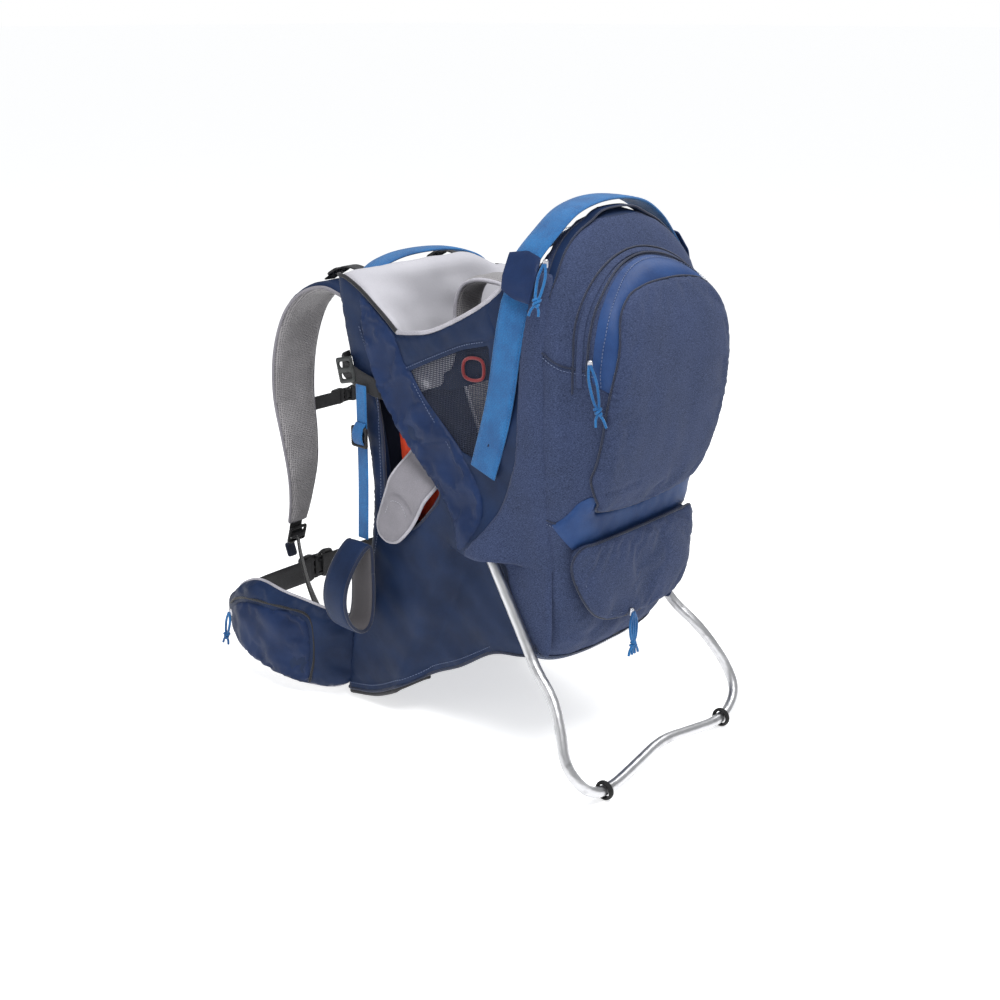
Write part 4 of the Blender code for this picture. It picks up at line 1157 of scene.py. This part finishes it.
def seat():
    surface = flat((0, -0.165, 0.2545), (1, 0, 0), (0, 1, 0))
    base = pad("seat_cushion", rounded(0.196, 0.140, 0.03), surface, 0.009, 0.008, reach=0.018, step=0.005,
               folds=(0.0012, 0.04), pucker=0.0008, seed=81, materials=(PAD_GREY, NAVY),
               seams=[[(-0.06, -0.05), (-0.05, 0.0), (-0.06, 0.05)],
                      [(0.06, -0.05), (0.05, 0.0), (0.06, 0.05)]])
    put(base, "seat", "navy_nylon", "seat_pan")
    crotch = strap("crotch_strap", [(0, -0.150, 0.264), (0, -0.172, 0.270), (0, -0.188, 0.274)], 0.030,
                   0.003,
                   (1, 0, 0), BLACK_WEB)
    put(crotch, "seat", "black_webbing")
    back, length = along_path([(-0.246, 0.285), (-0.262, 0.400), (-0.273, 0.520), (-0.279, 0.605)], "YZ")
    pad_back = pad("child_back_cloth", rounded(length, 0.180, 0.035, (length / 2, 0)), back, 0.011, 0.004,
                   reach=0.018, step=0.005, out=1, folds=(0.0012, 0.05), pucker=0.0008, seed=82,
                   materials=(PAD_GREY, NAVY),
                   seams=[[(0.03, v), (length - 0.03, v)] for v in (-0.05, 0.05)] +
                         [[(u, -0.08), (u, 0.08)] for u in (0.10, 0.20)], seam_depth=0.5)
    put(pad_back, "frame", "grey_lining", "child_back_pad")
    for side in (LEFT, RIGHT):
        path, run = along_path([(-0.262, 0.560), (-0.250, 0.588), (-0.215, 0.602), (-0.172, 0.602),
                                (-0.146, 0.586),
                                (-0.138, 0.548), (-0.150, 0.480), (-0.180, 0.410), (-0.206, 0.362)], "YZ")
        outline = [(u, v + side * 0.052) for u, v in rounded(run - 0.004, 0.044, 0.018, (run / 2, 0))]
        soft = pad(side_name("child_strap_pad", side), outline, path, 0.006, 0.004, reach=0.010, step=0.004,
                   out=-1, folds=(0.0006, 0.03), pucker=0.0004, seed=83, materials=(MESH,))
        put(soft, "child_straps", "grey_mesh", side_name("child_strap", side))
        edge = piping(side_name("child_strap_binding", side), path, outline, -1, 0.001, 0.0026, BINDING,
                      True, False)
        put(edge, "child_straps", "grey_lining")
        web = strap(side_name("child_strap_web", side),
                    [(side * 0.052, -0.210, 0.374), (side * 0.040, -0.206, 0.345),
                     (side * 0.014, -0.198, 0.318)],
                    0.020, 0.002, (1, 0, 0.3), BLACK_WEB)
        put(web, "seat", "black_webbing")


# Handles.

TUNNEL_Z = [0.600, 0.612, 0.632, 0.653, 0.665]
TUNNEL_X = [0.1570, 0.1550, 0.1480, 0.1335, 0.1230]


def handles():
    half = [(0.1500, -0.309, 0.612), (0.1440, -0.308, 0.632), (0.1290, -0.306, 0.653),
            (0.1000, -0.309, 0.678),
            (0.0680, -0.309, 0.6975), (0.0340, -0.309, 0.7065), (0.0, -0.309, 0.7090)]
    whole = half + [(-x, y, z) for x, y, z in reversed(half[:-1])]
    arch = strap("rear_handle_web", whole, 0.040, 0.0034, (0, 1, 0), BLUE, bulge=0.0008)
    put(arch, "rear_handle", "blue_webbing", "rear_handle")
    for side in (LEFT, RIGHT):
        run = smooth_path([(-0.3100, 0.630), (-0.3050, 0.600), (-0.2960, 0.540), (-0.2850, 0.480),
                           (-0.2710, 0.430),
                           (-0.2590, 0.392)], 0.005)
        place, normal = facing(side_surface(side), run, side)
        across = np.cross(np.gradient(place, axis=0), normal)
        band = sweep(side_name("handle_band", side), place + normal * 0.0038, strap_section(0.041, 0.0030),
                     across,
                     materials=(BLUE,))
        put(band, "frame", "blue_webbing")
        edges = [on_surface(side_surface(side), [(y + d, z + d * 0.2) for y, z in run[6:]], side, 0.0056,
                            0.004,
                            False, False) for d in (-0.0178, 0.0178)]
        put(stitches(side_name("handle_thread", side), edges, BLUE), "frame")
        tunnel = pad(side_name("handle_tunnel", side),
                     even_path([(-0.2810, 0.656), (-0.3060, 0.660), (-0.3290, 0.655), (-0.3340, 0.630),
                                (-0.3330, 0.606), (-0.3100, 0.609), (-0.2880, 0.617), (-0.2840, 0.638)],
                                0.003, True),
                     lambda uv, s=side: np.stack([s * np.interp(uv[:, 1], TUNNEL_Z, TUNNEL_X), uv[:, 0],
                                                  uv[:, 1]], 1),
                     0.0020, 0.001, reach=0.006, step=0.003, out=side, folds=(0.0012, 0.02), pucker=0.0006,
                     seed=91, materials=(NAVY_SOFT,), curve=False, stretch=(1, 0.4, 1))
        put(tunnel, "frame", "navy_heather")
    points = [(-0.108, -0.012, 0.590), (-0.100, -0.012, 0.600), (-0.080, -0.011, 0.608),
              (-0.045, -0.010, 0.6140),
              (0.0, -0.010, 0.6150), (0.045, -0.010, 0.6110), (0.080, -0.011, 0.601), (0.100, -0.012, 0.590),
              (0.108, -0.012, 0.579)]
    grab = strap("front_handle_web", points, 0.030, 0.0034, (0, 1, 0), BLUE, bulge=0.0008)
    put(grab, "front_handle", "blue_webbing", "front_handle")


# The wearer's harness.

def plate_piece(name, outline, surface, thick, out=1, holes=(), material=PLASTIC, reach=0.0016, step=0.0016):
    return pad(name, outline, surface, thick / 2, thick / 2, edge=thick * 0.22, reach=reach, holes=holes,
               step=step,
               out=out, materials=(material,), curve=False)


def ladder_lock(name, centre, u_way, v_way, width, height, material=PLASTIC):
    """A ladder buckle: a rounded frame with two bars across it and a tilted lip."""
    surface = flat(centre, u_way, v_way)
    slot_h = height * 0.23
    holes = [rounded(width * 0.76, slot_h, slot_h * 0.4, (0, s * height * 0.22)) for s in (-1, 1)]
    return plate_piece(name, rounded(width, height, 0.003), surface, 0.0048, 1, holes, material)


def shoulder_strap(side):
    path = [(0.010, 0.565), (0.045, 0.5745), (0.085, 0.563), (0.120, 0.530), (0.142, 0.475), (0.149, 0.410),
            (0.144, 0.345), (0.144, 0.295), (0.154, 0.245), (0.166, 0.210)]
    surface, length = along_path(path, "YZ")
    half = stations([(0.0, 0.031), (0.06, 0.035), (0.16, 0.037), (0.28, 0.034), (0.36, 0.028), (0.42, 0.020),
                     (0.47, 0.015)])
    middle = stations([(0.0, 0.098), (0.12, 0.104), (0.25, 0.108), (0.36, 0.104), (0.47, 0.100)])
    u = np.linspace(0.002, length - 0.001, 60)
    scale = u / length * 0.47
    edge_a = [(a, side * (middle(b) + half(b))) for a, b in zip(u, scale)]
    edge_b = [(a, side * (middle(b) - half(b))) for a, b in zip(u, scale)]
    outline = np.array(edge_a + edge_b[::-1])
    body = side_name("strap", side)
    soft = pad(side_name("shoulder_pad", side), outline, surface, 0.0065, 0.0075, reach=0.013, step=0.0045,
               out=-1,
               folds=(0.0010, 0.05), pucker=0.0006, seed=101 + side, materials=(NAVY, MESH), curve=False)
    put(soft, body, "grey_mesh", side_name("shoulder_strap", side))
    put(piping(side_name("shoulder_binding", side), surface, outline, -1, -0.0002, 0.0022, PAD_GREY, True,
               False), body,
        "grey_mesh")
    lifter = strap(side_name("load_lifter_web", side),
                   [(side * 0.092, -0.006, 0.588), (side * 0.091, 0.018, 0.5965),
                    (side * 0.091, 0.046, 0.5965),
                    (side * 0.094, 0.078, 0.577)], 0.020, 0.0024, (1, 0, 0), BLACK_WEB)
    blended(lifter, "yoke", body, (0, 0.000, 0.590), (0, 0.040, 0.590), "black_webbing",
            side_name("load_lifter", side))
    lock = ladder_lock(side_name("load_lifter_lock", side), (side * 0.093, 0.060, 0.5895), (1, 0, 0),
                       (0, 0.88, -0.47),
                       0.028, 0.020)
    put(lock, body, "black_plastic")
    lower = ladder_lock(side_name("strap_lock_frame", side), (side * 0.100, 0.168, 0.189), (1, 0, 0),
                        (0, -0.30, 0.95), 0.032, 0.026)
    put(lower, body, "black_plastic", side_name("strap_lock", side))
    loop = strap(side_name("strap_end_loop", side),
                 [(side * 0.100, 0.162, 0.222), (side * 0.100, 0.171, 0.198), (side * 0.100, 0.164, 0.184)],
                 0.023, 0.0022, (1, 0, 0), BLACK_WEB)
    put(loop, body, "black_webbing")
    tail = strap(side_name("strap_tail_web", side),
                 [(side * 0.143, 0.006, 0.075), (side * 0.139, 0.040, 0.078), (side * 0.127, 0.088, 0.092),
                  (side * 0.113, 0.130, 0.119), (side * 0.104, 0.156, 0.156), (side * 0.100, 0.167, 0.186)],
                  0.018,
                 0.0020, (0.7, -side * 0.64, 0), BLACK_WEB)
    blended(tail, "yoke", body, (0, 0.02, 0.09), (0, 0.166, 0.186), "black_webbing",
            side_name("strap_tail", side))
    tab = pad(side_name("strap_end_tab", side), rounded(0.017, 0.022, 0.004),
              flat((side * 0.100, 0.184, 0.160), (1, 0, 0), (0, 0.35, 0.94)), 0.0022, 0.0012, reach=0.002,
              step=0.002,
              materials=(NAVY_BIND,), curve=False)
    put(tab, body, "navy_nylon")
    hang = strap(side_name("strap_end_hang", side),
                 [(side * 0.100, 0.172, 0.190), (side * 0.100, 0.181, 0.170)], 0.010,
                 0.0016, (1, 0, 0), BLACK_WEB)
    put(hang, body, "black_webbing")
    slider = strap(side_name("sternum_web", side),
                   [(side * 0.112, 0.1560, 0.380), (side * 0.085, 0.1618, 0.380),
                    (side * 0.050, 0.1622, 0.380),
                    (side * 0.012, 0.1622, 0.380)], 0.020, 0.0020, (0, 0, 1), BLACK_WEB)
    put(slider, side_name("sternum", side), "black_webbing", side_name("sternum_strap", side))


def side_release(stem, y, z, length, depth, height, prongs_body, socket_body):
    """The looks of a side-release buckle: a ribbed socket, and a half with three prongs."""
    surface = flat((0, y, z), (1, 0, 0), (0, 0, 1))
    socket_outline = [(0.0004, -height * 0.42), (length * 0.3, -height * 0.40),
                      (length * 0.62, -height * 0.50),
                      (length * 0.96, -height * 0.46), (length, -height * 0.38), (length, height * 0.38),
                      (length * 0.96, height * 0.46), (length * 0.62, height * 0.50),
                      (length * 0.3, height * 0.40),
                      (0.0004, height * 0.42)]
    slot = rounded(length * 0.13, height * 0.66, 0.0015, (length * 0.86, 0))
    thumb = rounded(length * 0.34, height * 0.16, 0.002, (length * 0.36, height * 0.30))
    thumb_low = rounded(length * 0.34, height * 0.16, 0.002, (length * 0.36, -height * 0.30))
    socket = plate_piece(stem + "_socket", socket_outline, surface, depth, -1, (slot, thumb, thumb_low),
                         reach=0.0035, step=0.0018)
    put(socket, socket_body, "black_plastic", stem + "_buckle_socket")
    w = height
    prong_outline = [(-length * 0.76, -w * 0.36), (-length * 0.70, -w * 0.45), (-length * 0.25, -w * 0.50),
                     (-0.0006, -w * 0.44), (-0.0006, -w * 0.36), (length * 0.46, -w * 0.34),
                     (length * 0.58, -w * 0.24), (length * 0.46, -w * 0.20), (-0.0006, -w * 0.20),
                     (-0.0006, -w * 0.06), (length * 0.40, -w * 0.05), (length * 0.40, w * 0.05),
                     (-0.0006, w * 0.06), (-0.0006, w * 0.20), (length * 0.46, w * 0.20),
                     (length * 0.58, w * 0.24),
                     (length * 0.46, w * 0.34), (-0.0006, w * 0.36), (-0.0006, w * 0.44),
                     (-length * 0.25, w * 0.50),
                     (-length * 0.70, w * 0.45), (-length * 0.76, w * 0.36)]
    bars = [rounded(length * 0.12, w * 0.62, 0.0012, (-length * x, 0)) for x in (0.60, 0.38)]
    prongs = plate_piece(stem + "_prongs", prong_outline, surface, depth * 0.72, -1, bars, reach=0.0022,
                         step=0.0018)
    put(prongs, prongs_body, "black_plastic", stem + "_buckle_prongs")


def wearer_pads():
    surface, length = along_path([(0.009, 0.030), (0.0125, 0.110), (0.009, 0.192)], "YZ")
    lumbar = pad("lumbar_cushion", rounded(length, 0.250, 0.035, (length / 2, 0)), surface, 0.018, 0.004,
                 reach=0.026, step=0.005, out=1, folds=(0.0014, 0.05), pucker=0.0010, seed=111,
                 materials=(MESH, NAVY), seams=[[(0.02, 0), (length - 0.02, 0)], [(0.05, -0.10), (0.05,
                         0.10)],
                                                [(0.11, -0.10), (0.11, 0.10)]], seam_depth=0.6,
                                                seam_width=0.006)
    put(lumbar, "frame", "grey_mesh", "lumbar_pad")
    path, length = along_path([(front_y(z) + 0.0117, z) for z in np.linspace(0.366, 0.552, 6)], "YZ")
    outline = [(0.0, -0.070), (0.0, 0.070), (0.03, 0.090), (0.12, 0.116), (0.165, 0.120), (length, 0.112),
               (length - 0.006, 0.06), (length - 0.012, 0.0), (length - 0.006, -0.06), (length, -0.112),
               (0.165, -0.120), (0.12, -0.116), (0.03, -0.090)]
    yoke = pad("yoke_cushion", outline, path, 0.0105, 0.0008, reach=0.020, step=0.005, out=1,
               folds=(0.0012, 0.05),
               pucker=0.0008, seed=112, materials=(MESH, DEEP), seams=[[(0.02, 0), (length - 0.03, 0)]],
               seam_depth=0.6)
    put(yoke, "yoke", "grey_mesh", "shoulder_yoke")


WING_PATH = [(0.112, 0.004), (0.136, 0.006), (0.158, 0.018), (0.177, 0.046), (0.192, 0.090), (0.198, 0.140),
             (0.192, 0.186), (0.174, 0.222)]


def hip_wing(side):
    surface, length = along_path([(side * x, y) for x, y in WING_PATH], "XY")
    top = stations([(0.0, 0.108), (0.05, 0.126), (0.09, 0.139), (0.13, 0.147), (0.175, 0.154),
                    (0.215, 0.138),
                    (0.245, 0.118), (0.275, 0.102)])
    low = stations([(0.0, 0.034), (0.05, 0.013), (0.09, 0.0125), (0.13, 0.015), (0.175, 0.028),
                    (0.215, 0.038),
                    (0.245, 0.048), (0.275, 0.060)])
    u = np.linspace(0.0, length, 44)
    outline = np.array([(a, top(a)) for a in u] + [(a, low(a)) for a in u[::-1]])
    body = side_name("hip", side)
    soft = pad(side_name("hip_wing_cloth", side), outline, surface, 0.0125, 0.008, reach=0.024, step=0.0045,
               out=side, folds=(0.0022, 0.045), pucker=0.0012, seed=121 + side, materials=(NAVY, MESH),
               curve=False)
    settle(soft, 2.0, 0.06, 0.003)
    nodes = (side_name("hip_wing", side),)
    blended(soft, "frame", body, (side * 0.125, 0.004, 0.08), (side * 0.172, 0.040, 0.08), "navy_nylon",
            *nodes)
    edge = piping(side_name("hip_wing_binding", side), surface, outline, side, -0.001, 0.0024, BINDING, True,
                  False)
    blended(edge, "frame", body, (side * 0.125, 0.004, 0.08), (side * 0.172, 0.040, 0.08), "grey_lining")
    zip_line = [(0.238, 0.100), (0.220, 0.114), (0.190, 0.126), (0.150, 0.130), (0.110, 0.130),
                (0.088, 0.126),
                (0.079, 0.109), (0.079, 0.060), (0.087, 0.022)]
    welt = piping(side_name("hip_zip_welt", side), surface, zip_line, side, 0.0146, 0.0018, BLACK_BIND,
                  False)
    put(welt, body, "navy_nylon")
    pocket = [(0.090, 0.024), (0.083, 0.060), (0.084, 0.104), (0.092, 0.120), (0.112, 0.125), (0.150, 0.125),
              (0.188, 0.121), (0.216, 0.109), (0.232, 0.090), (0.232, 0.066), (0.210, 0.046), (0.170, 0.032),
              (0.130, 0.024)]
    bulge = pad(side_name("hip_pocket", side), pocket, surface, 0.0070, 0.0, edge=0.001, reach=0.022,
                lift=0.0112,
                step=0.0045, out=side, folds=(0.0016, 0.04), pucker=0.0008, seed=131, materials=(NAVY_SOFT,))
    put(settle(bulge, 3.0, 0.08, 0.004), body, "navy_nylon")
    web = strap(side_name("belt_web", side),
                [(side * 0.186, 0.196, 0.080), (side * 0.170, 0.2195, 0.080), (side * 0.150, 0.2345, 0.081),
                 (side * 0.120, 0.2440, 0.082), (side * 0.080, 0.2470, 0.082),
                 (side * 0.013, 0.2470, 0.082)],
                0.038, 0.0026, (0, 0, 1), BLACK_WEB)
    put(web, body, "black_webbing", side_name("belt_webbing", side))


# Stirrups and side straps.

def stirrup(side):
    loop = [(0.174, 0.252), (0.196, 0.240), (0.216, 0.212), (0.222, 0.184), (0.215, 0.157), (0.200, 0.140),
            (0.187, 0.137), (0.177, 0.147), (0.172, 0.172), (0.171, 0.212)]
    points = [(side * x, -0.055, z) for x, z in loop]
    if side == LEFT:
        points = points[::-1]
    ring = strap(side_name("stirrup_loop_cloth", side), points, 0.040, 0.0052, (0, 1, 0), NAVY, True, 0.004,
                 PAD_DARK, bulge=0.001)
    put(ring, side_name("stirrup_loop", side), "navy_nylon", side_name("stirrup", side))
    for edge in (-1, 1):
        rim = cord(side_name("stirrup_edge_" + ("rear" if edge < 0 else "front"), side),
                   [(x, y + edge * 0.0195, z) for x, y, z in points], 0.0026, NAVY_BIND, True)
        put(rim, side_name("stirrup_loop", side), "navy_nylon")
    web = strap(side_name("stirrup_web", side),
                [(side * 0.1640, -0.0555, 0.466), (side * 0.1642, -0.0555, 0.420),
                 (side * 0.1650, -0.0555, 0.340),
                 (side * 0.1685, -0.0555, 0.2585)], 0.019, 0.0020, (0, 1, 0), BLUE)
    put(web, side_name("stirrup_web", side), "blue_webbing", side_name("stirrup_webbing", side))
    lock = ladder_lock(side_name("stirrup_buckle", side), (side * 0.1690, -0.0550, 0.398), (0, side, 0),
                       (0, 0, 1),
                       0.029, 0.028)
    put(lock, "frame", "black_plastic", side_name("stirrup_lock", side))
    fold = strap(side_name("stirrup_fold", side),
                 [(side * 0.1660, -0.0555, 0.416), (side * 0.1725, -0.0555, 0.407),
                  (side * 0.1730, -0.0555, 0.394),
                  (side * 0.1662, -0.0555, 0.384)], 0.019, 0.0018, (0, 1, 0), BLUE)
    put(fold, "frame", "blue_webbing")


def side_adjuster(side):
    """The strap that draws the cockpit's side forward, with its ladder buckle on the post."""
    wrap = [(side * 0.1470, -0.100, 0.452), (side * 0.1480, -0.086, 0.459), (side * 0.1550, -0.070, 0.464),
            (side * 0.1585, -0.045, 0.472),
            (side * 0.1580, -0.020, 0.481), (side * 0.1500, -0.008, 0.486), (side * 0.1380, -0.010, 0.489)]
    put(strap(side_name("adjuster_web", side), wrap, 0.024, 0.0022, (0, 0, 1), BLACK_WEB), "frame",
        "black_webbing")
    lock = ladder_lock(side_name("adjuster_buckle", side), (side * 0.1605, -0.024, 0.480),
                       (0, side * 0.97, 0.24),
                       (0, -side * 0.24, 0.97), 0.030, 0.034, OLIVE)
    put(lock, "frame", "black_plastic")


# Zip pulls.

def zip_pull(name, body, top, drop, way, node, sway, strands=2):
    """A slider with its tab, and a doubled cord tied in a knot with two loose ends."""
    w = np.array(way, float)
    base = np.array(top, float)
    slider = pad(name + "_slider", rounded(0.0065, 0.0105, 0.0022), flat(base, w, (0, 0, 1)), 0.0022, 0.0012,
                 edge=0.0006, reach=0.002, step=0.0012, materials=(STEEL,), curve=False)
    put(slider, body, "steel")
    out = np.cross(w, (0, 0, 1.0))
    down = np.array((sway[0], sway[1], -1.0))
    start = base + out * 0.003
    spreads = (-1, 1) if strands == 2 else (-1.6, -0.5, 0.5, 1.6)
    for number, spread in enumerate(spreads):
        points = [start + w * spread * 0.0010, start + down * drop * 0.25 + w * spread * 0.0042,
                  start + down * drop * 0.55 + w * spread * 0.0034,
                  start + down * drop * 0.72 + w * spread * 0.0008]
        put(cord(f"{name}_cord_{number}", points, 0.0018, BLUE, step=0.002), body, "blue_webbing")
        end = start + down * drop * 0.76
        tail = [end, end + down * drop * 0.12 + w * spread * 0.0045,
                end + down * drop * 0.24 + w * spread * 0.0060]
        put(cord(f"{name}_tail_{number}", tail, 0.0017, BLUE, step=0.002), body, "blue_webbing")
    turn = np.linspace(0, 2 * math.pi, 60)
    middle = start + down * drop * 0.74
    knot = [middle + w * 0.0034 * math.sin(2 * a) + out * 0.0026 * math.sin(3 * a)
            + down * 0.0036 * math.cos(a) for a in turn[:-1]]
    put(cord(name + "_knot", knot, 0.0018, BLUE, True, 0.0012), body, "blue_webbing", node)


def zip_pulls():
    zip_pull("main_pull", "main_zip", (-0.1440, -0.346, 0.652), 0.056, (0.3, -0.95, 0), "main_zip_pull",
             (-0.30, 0.02))
    zip_pull("pocket_pull", "pocket_zip", (-0.1275, -0.399, 0.543), 0.072, (0.5, -0.86, 0),
             "pocket_zip_pull",
             (0.12, -0.16))
    zip_pull("low_pull", "lower_zip", (-0.0200, -0.389, 0.203), 0.058, (1, 0, 0), "lower_zip_pull",
             (0.04, 0.0), 4)
    zip_pull("belt_pull", "belt_zip", (-0.2230, 0.175, 0.100), 0.052, (0, -1, 0), "belt_zip_pull",
             (0.0, 0.25))


# CAD pieces shown as they are, in their own finishes.

def carried_over():
    finishes = {
        ALLOY: ("front_frame", "rear_hoop", "stand_tube"),
        STEEL: ("stand_pin_left", "stand_pin_right", "stand_spring_left", "stand_spring_right"),
        RUBBER: ("base_skid", "foot_ring_left", "foot_ring_right"),
        PLASTIC: ("stand_bracket_left", "stand_bracket_right", "harness_buckle"),
        RED: ("harness_button",),
    }
    for material, names in finishes.items():
        for name in names:
            obj = NODES[name]
            obj.data.materials.clear()
            obj.data.materials.append(material)
            obj.data.polygons.foreach_set("use_smooth", [True] * len(obj.data.polygons))
            if name in ("front_frame", "rear_hoop", "stand_tube", "foot_ring_left", "foot_ring_right"):
                weld = obj.modifiers.new("weld", "WELD")
                weld.merge_threshold = 0.00002
                smooth = obj.modifiers.new("round", "SUBSURF")
                smooth.levels = smooth.render_levels = 2


bag_body()
bag_seams()
pockets()
back_panel()
front_posts()
cockpit()
seat()
handles()
wearer_pads()
side_release("sternum", 0.1675, 0.380, 0.030, 0.008, 0.024, "sternum_prongs", "sternum_right")
side_release("belt", 0.2555, 0.082, 0.038, 0.012, 0.046, "belt_prongs", "hip_right")
for each_side in (LEFT, RIGHT):
    side_fabric(each_side)
    tongue(each_side)
    shoulder_strap(each_side)
    hip_wing(each_side)
    stirrup(each_side)
    side_adjuster(each_side)
zip_pulls()
carried_over()


# Floor, light and camera.

def white_world():
    """A world that lights softly but looks plain white to the camera."""
    world = bpy.data.worlds.new("studio")
    world.use_nodes = True
    tree = world.node_tree
    soft = tree.nodes["Background"]
    soft.inputs[0].default_value, soft.inputs[1].default_value = (0.96, 0.98, 1.0, 1.0), 0.42
    seen = tree.nodes.new("ShaderNodeBackground")
    seen.inputs[0].default_value, seen.inputs[1].default_value = (1.0, 1.0, 1.0, 1.0), 1.0
    path = tree.nodes.new("ShaderNodeLightPath")
    mix = tree.nodes.new("ShaderNodeMixShader")
    tree.links.new(path.outputs["Is Camera Ray"], mix.inputs[0])
    tree.links.new(soft.outputs[0], mix.inputs[1])
    tree.links.new(seen.outputs[0], mix.inputs[2])
    tree.links.new(mix.outputs[0], tree.nodes["World Output"].inputs[0])
    bpy.context.scene.world = world


CAMERA_AT, CAMERA_AIM = (-1.316, -1.346, 0.9174), (0, -0.1464, 0.2894)
LIGHTS_AIM = (0, -0.15, 0.3)
FLOOR_GLOW = 0.62


def studio():
    bpy.ops.mesh.primitive_plane_add(size=160, location=(0, 0, -0.0004))
    floor = bpy.context.object
    floor.name = "studio_floor"
    net = Net("studio_floor")
    grain = net.noise(net.add("ShaderNodeTexCoord").outputs["Object"], 6.0, 2.0)
    floor.data.materials.append(net.finish(net.mix(grain, (0.88, 0.88, 0.88, 1), (0.90, 0.90, 0.90, 1)),
                                           0.9))
    net.shader.inputs["Emission Color"].default_value = (1, 1, 1, 1)
    net.shader.inputs["Emission Strength"].default_value = FLOOR_GLOW
    white_world()
    lights = {
        "key": ((-0.7, -1.1, 2.5), 46, 1.1),
        "side": ((-2.4, 0.8, 1.2), 6, 1.0),
        "rim": ((1.3, -0.4, 2.3), 22, 1.2),
    }
    for name, (place, power, size) in lights.items():
        lamp = bpy.data.lights.new(name, "AREA")
        lamp.energy = power
        lamp.size = size
        obj = bpy.data.objects.new(name, lamp)
        bpy.context.scene.collection.objects.link(obj)
        obj.location = place
        obj.rotation_euler = (Vector(LIGHTS_AIM) - Vector(place)).to_track_quat("-Z", "Y").to_euler()
    camera = bpy.data.cameras.new("camera")
    camera.lens, camera.sensor_width = 50, 36
    view = bpy.data.objects.new("camera", camera)
    bpy.context.scene.collection.objects.link(view)
    view.location = CAMERA_AT
    aim = Vector(CAMERA_AIM) - view.location
    view.rotation_euler = aim.to_track_quat("-Z", "Y").to_euler()
    bpy.context.scene.camera = view
    bpy.context.scene.view_settings.view_transform = "Standard"


studio()
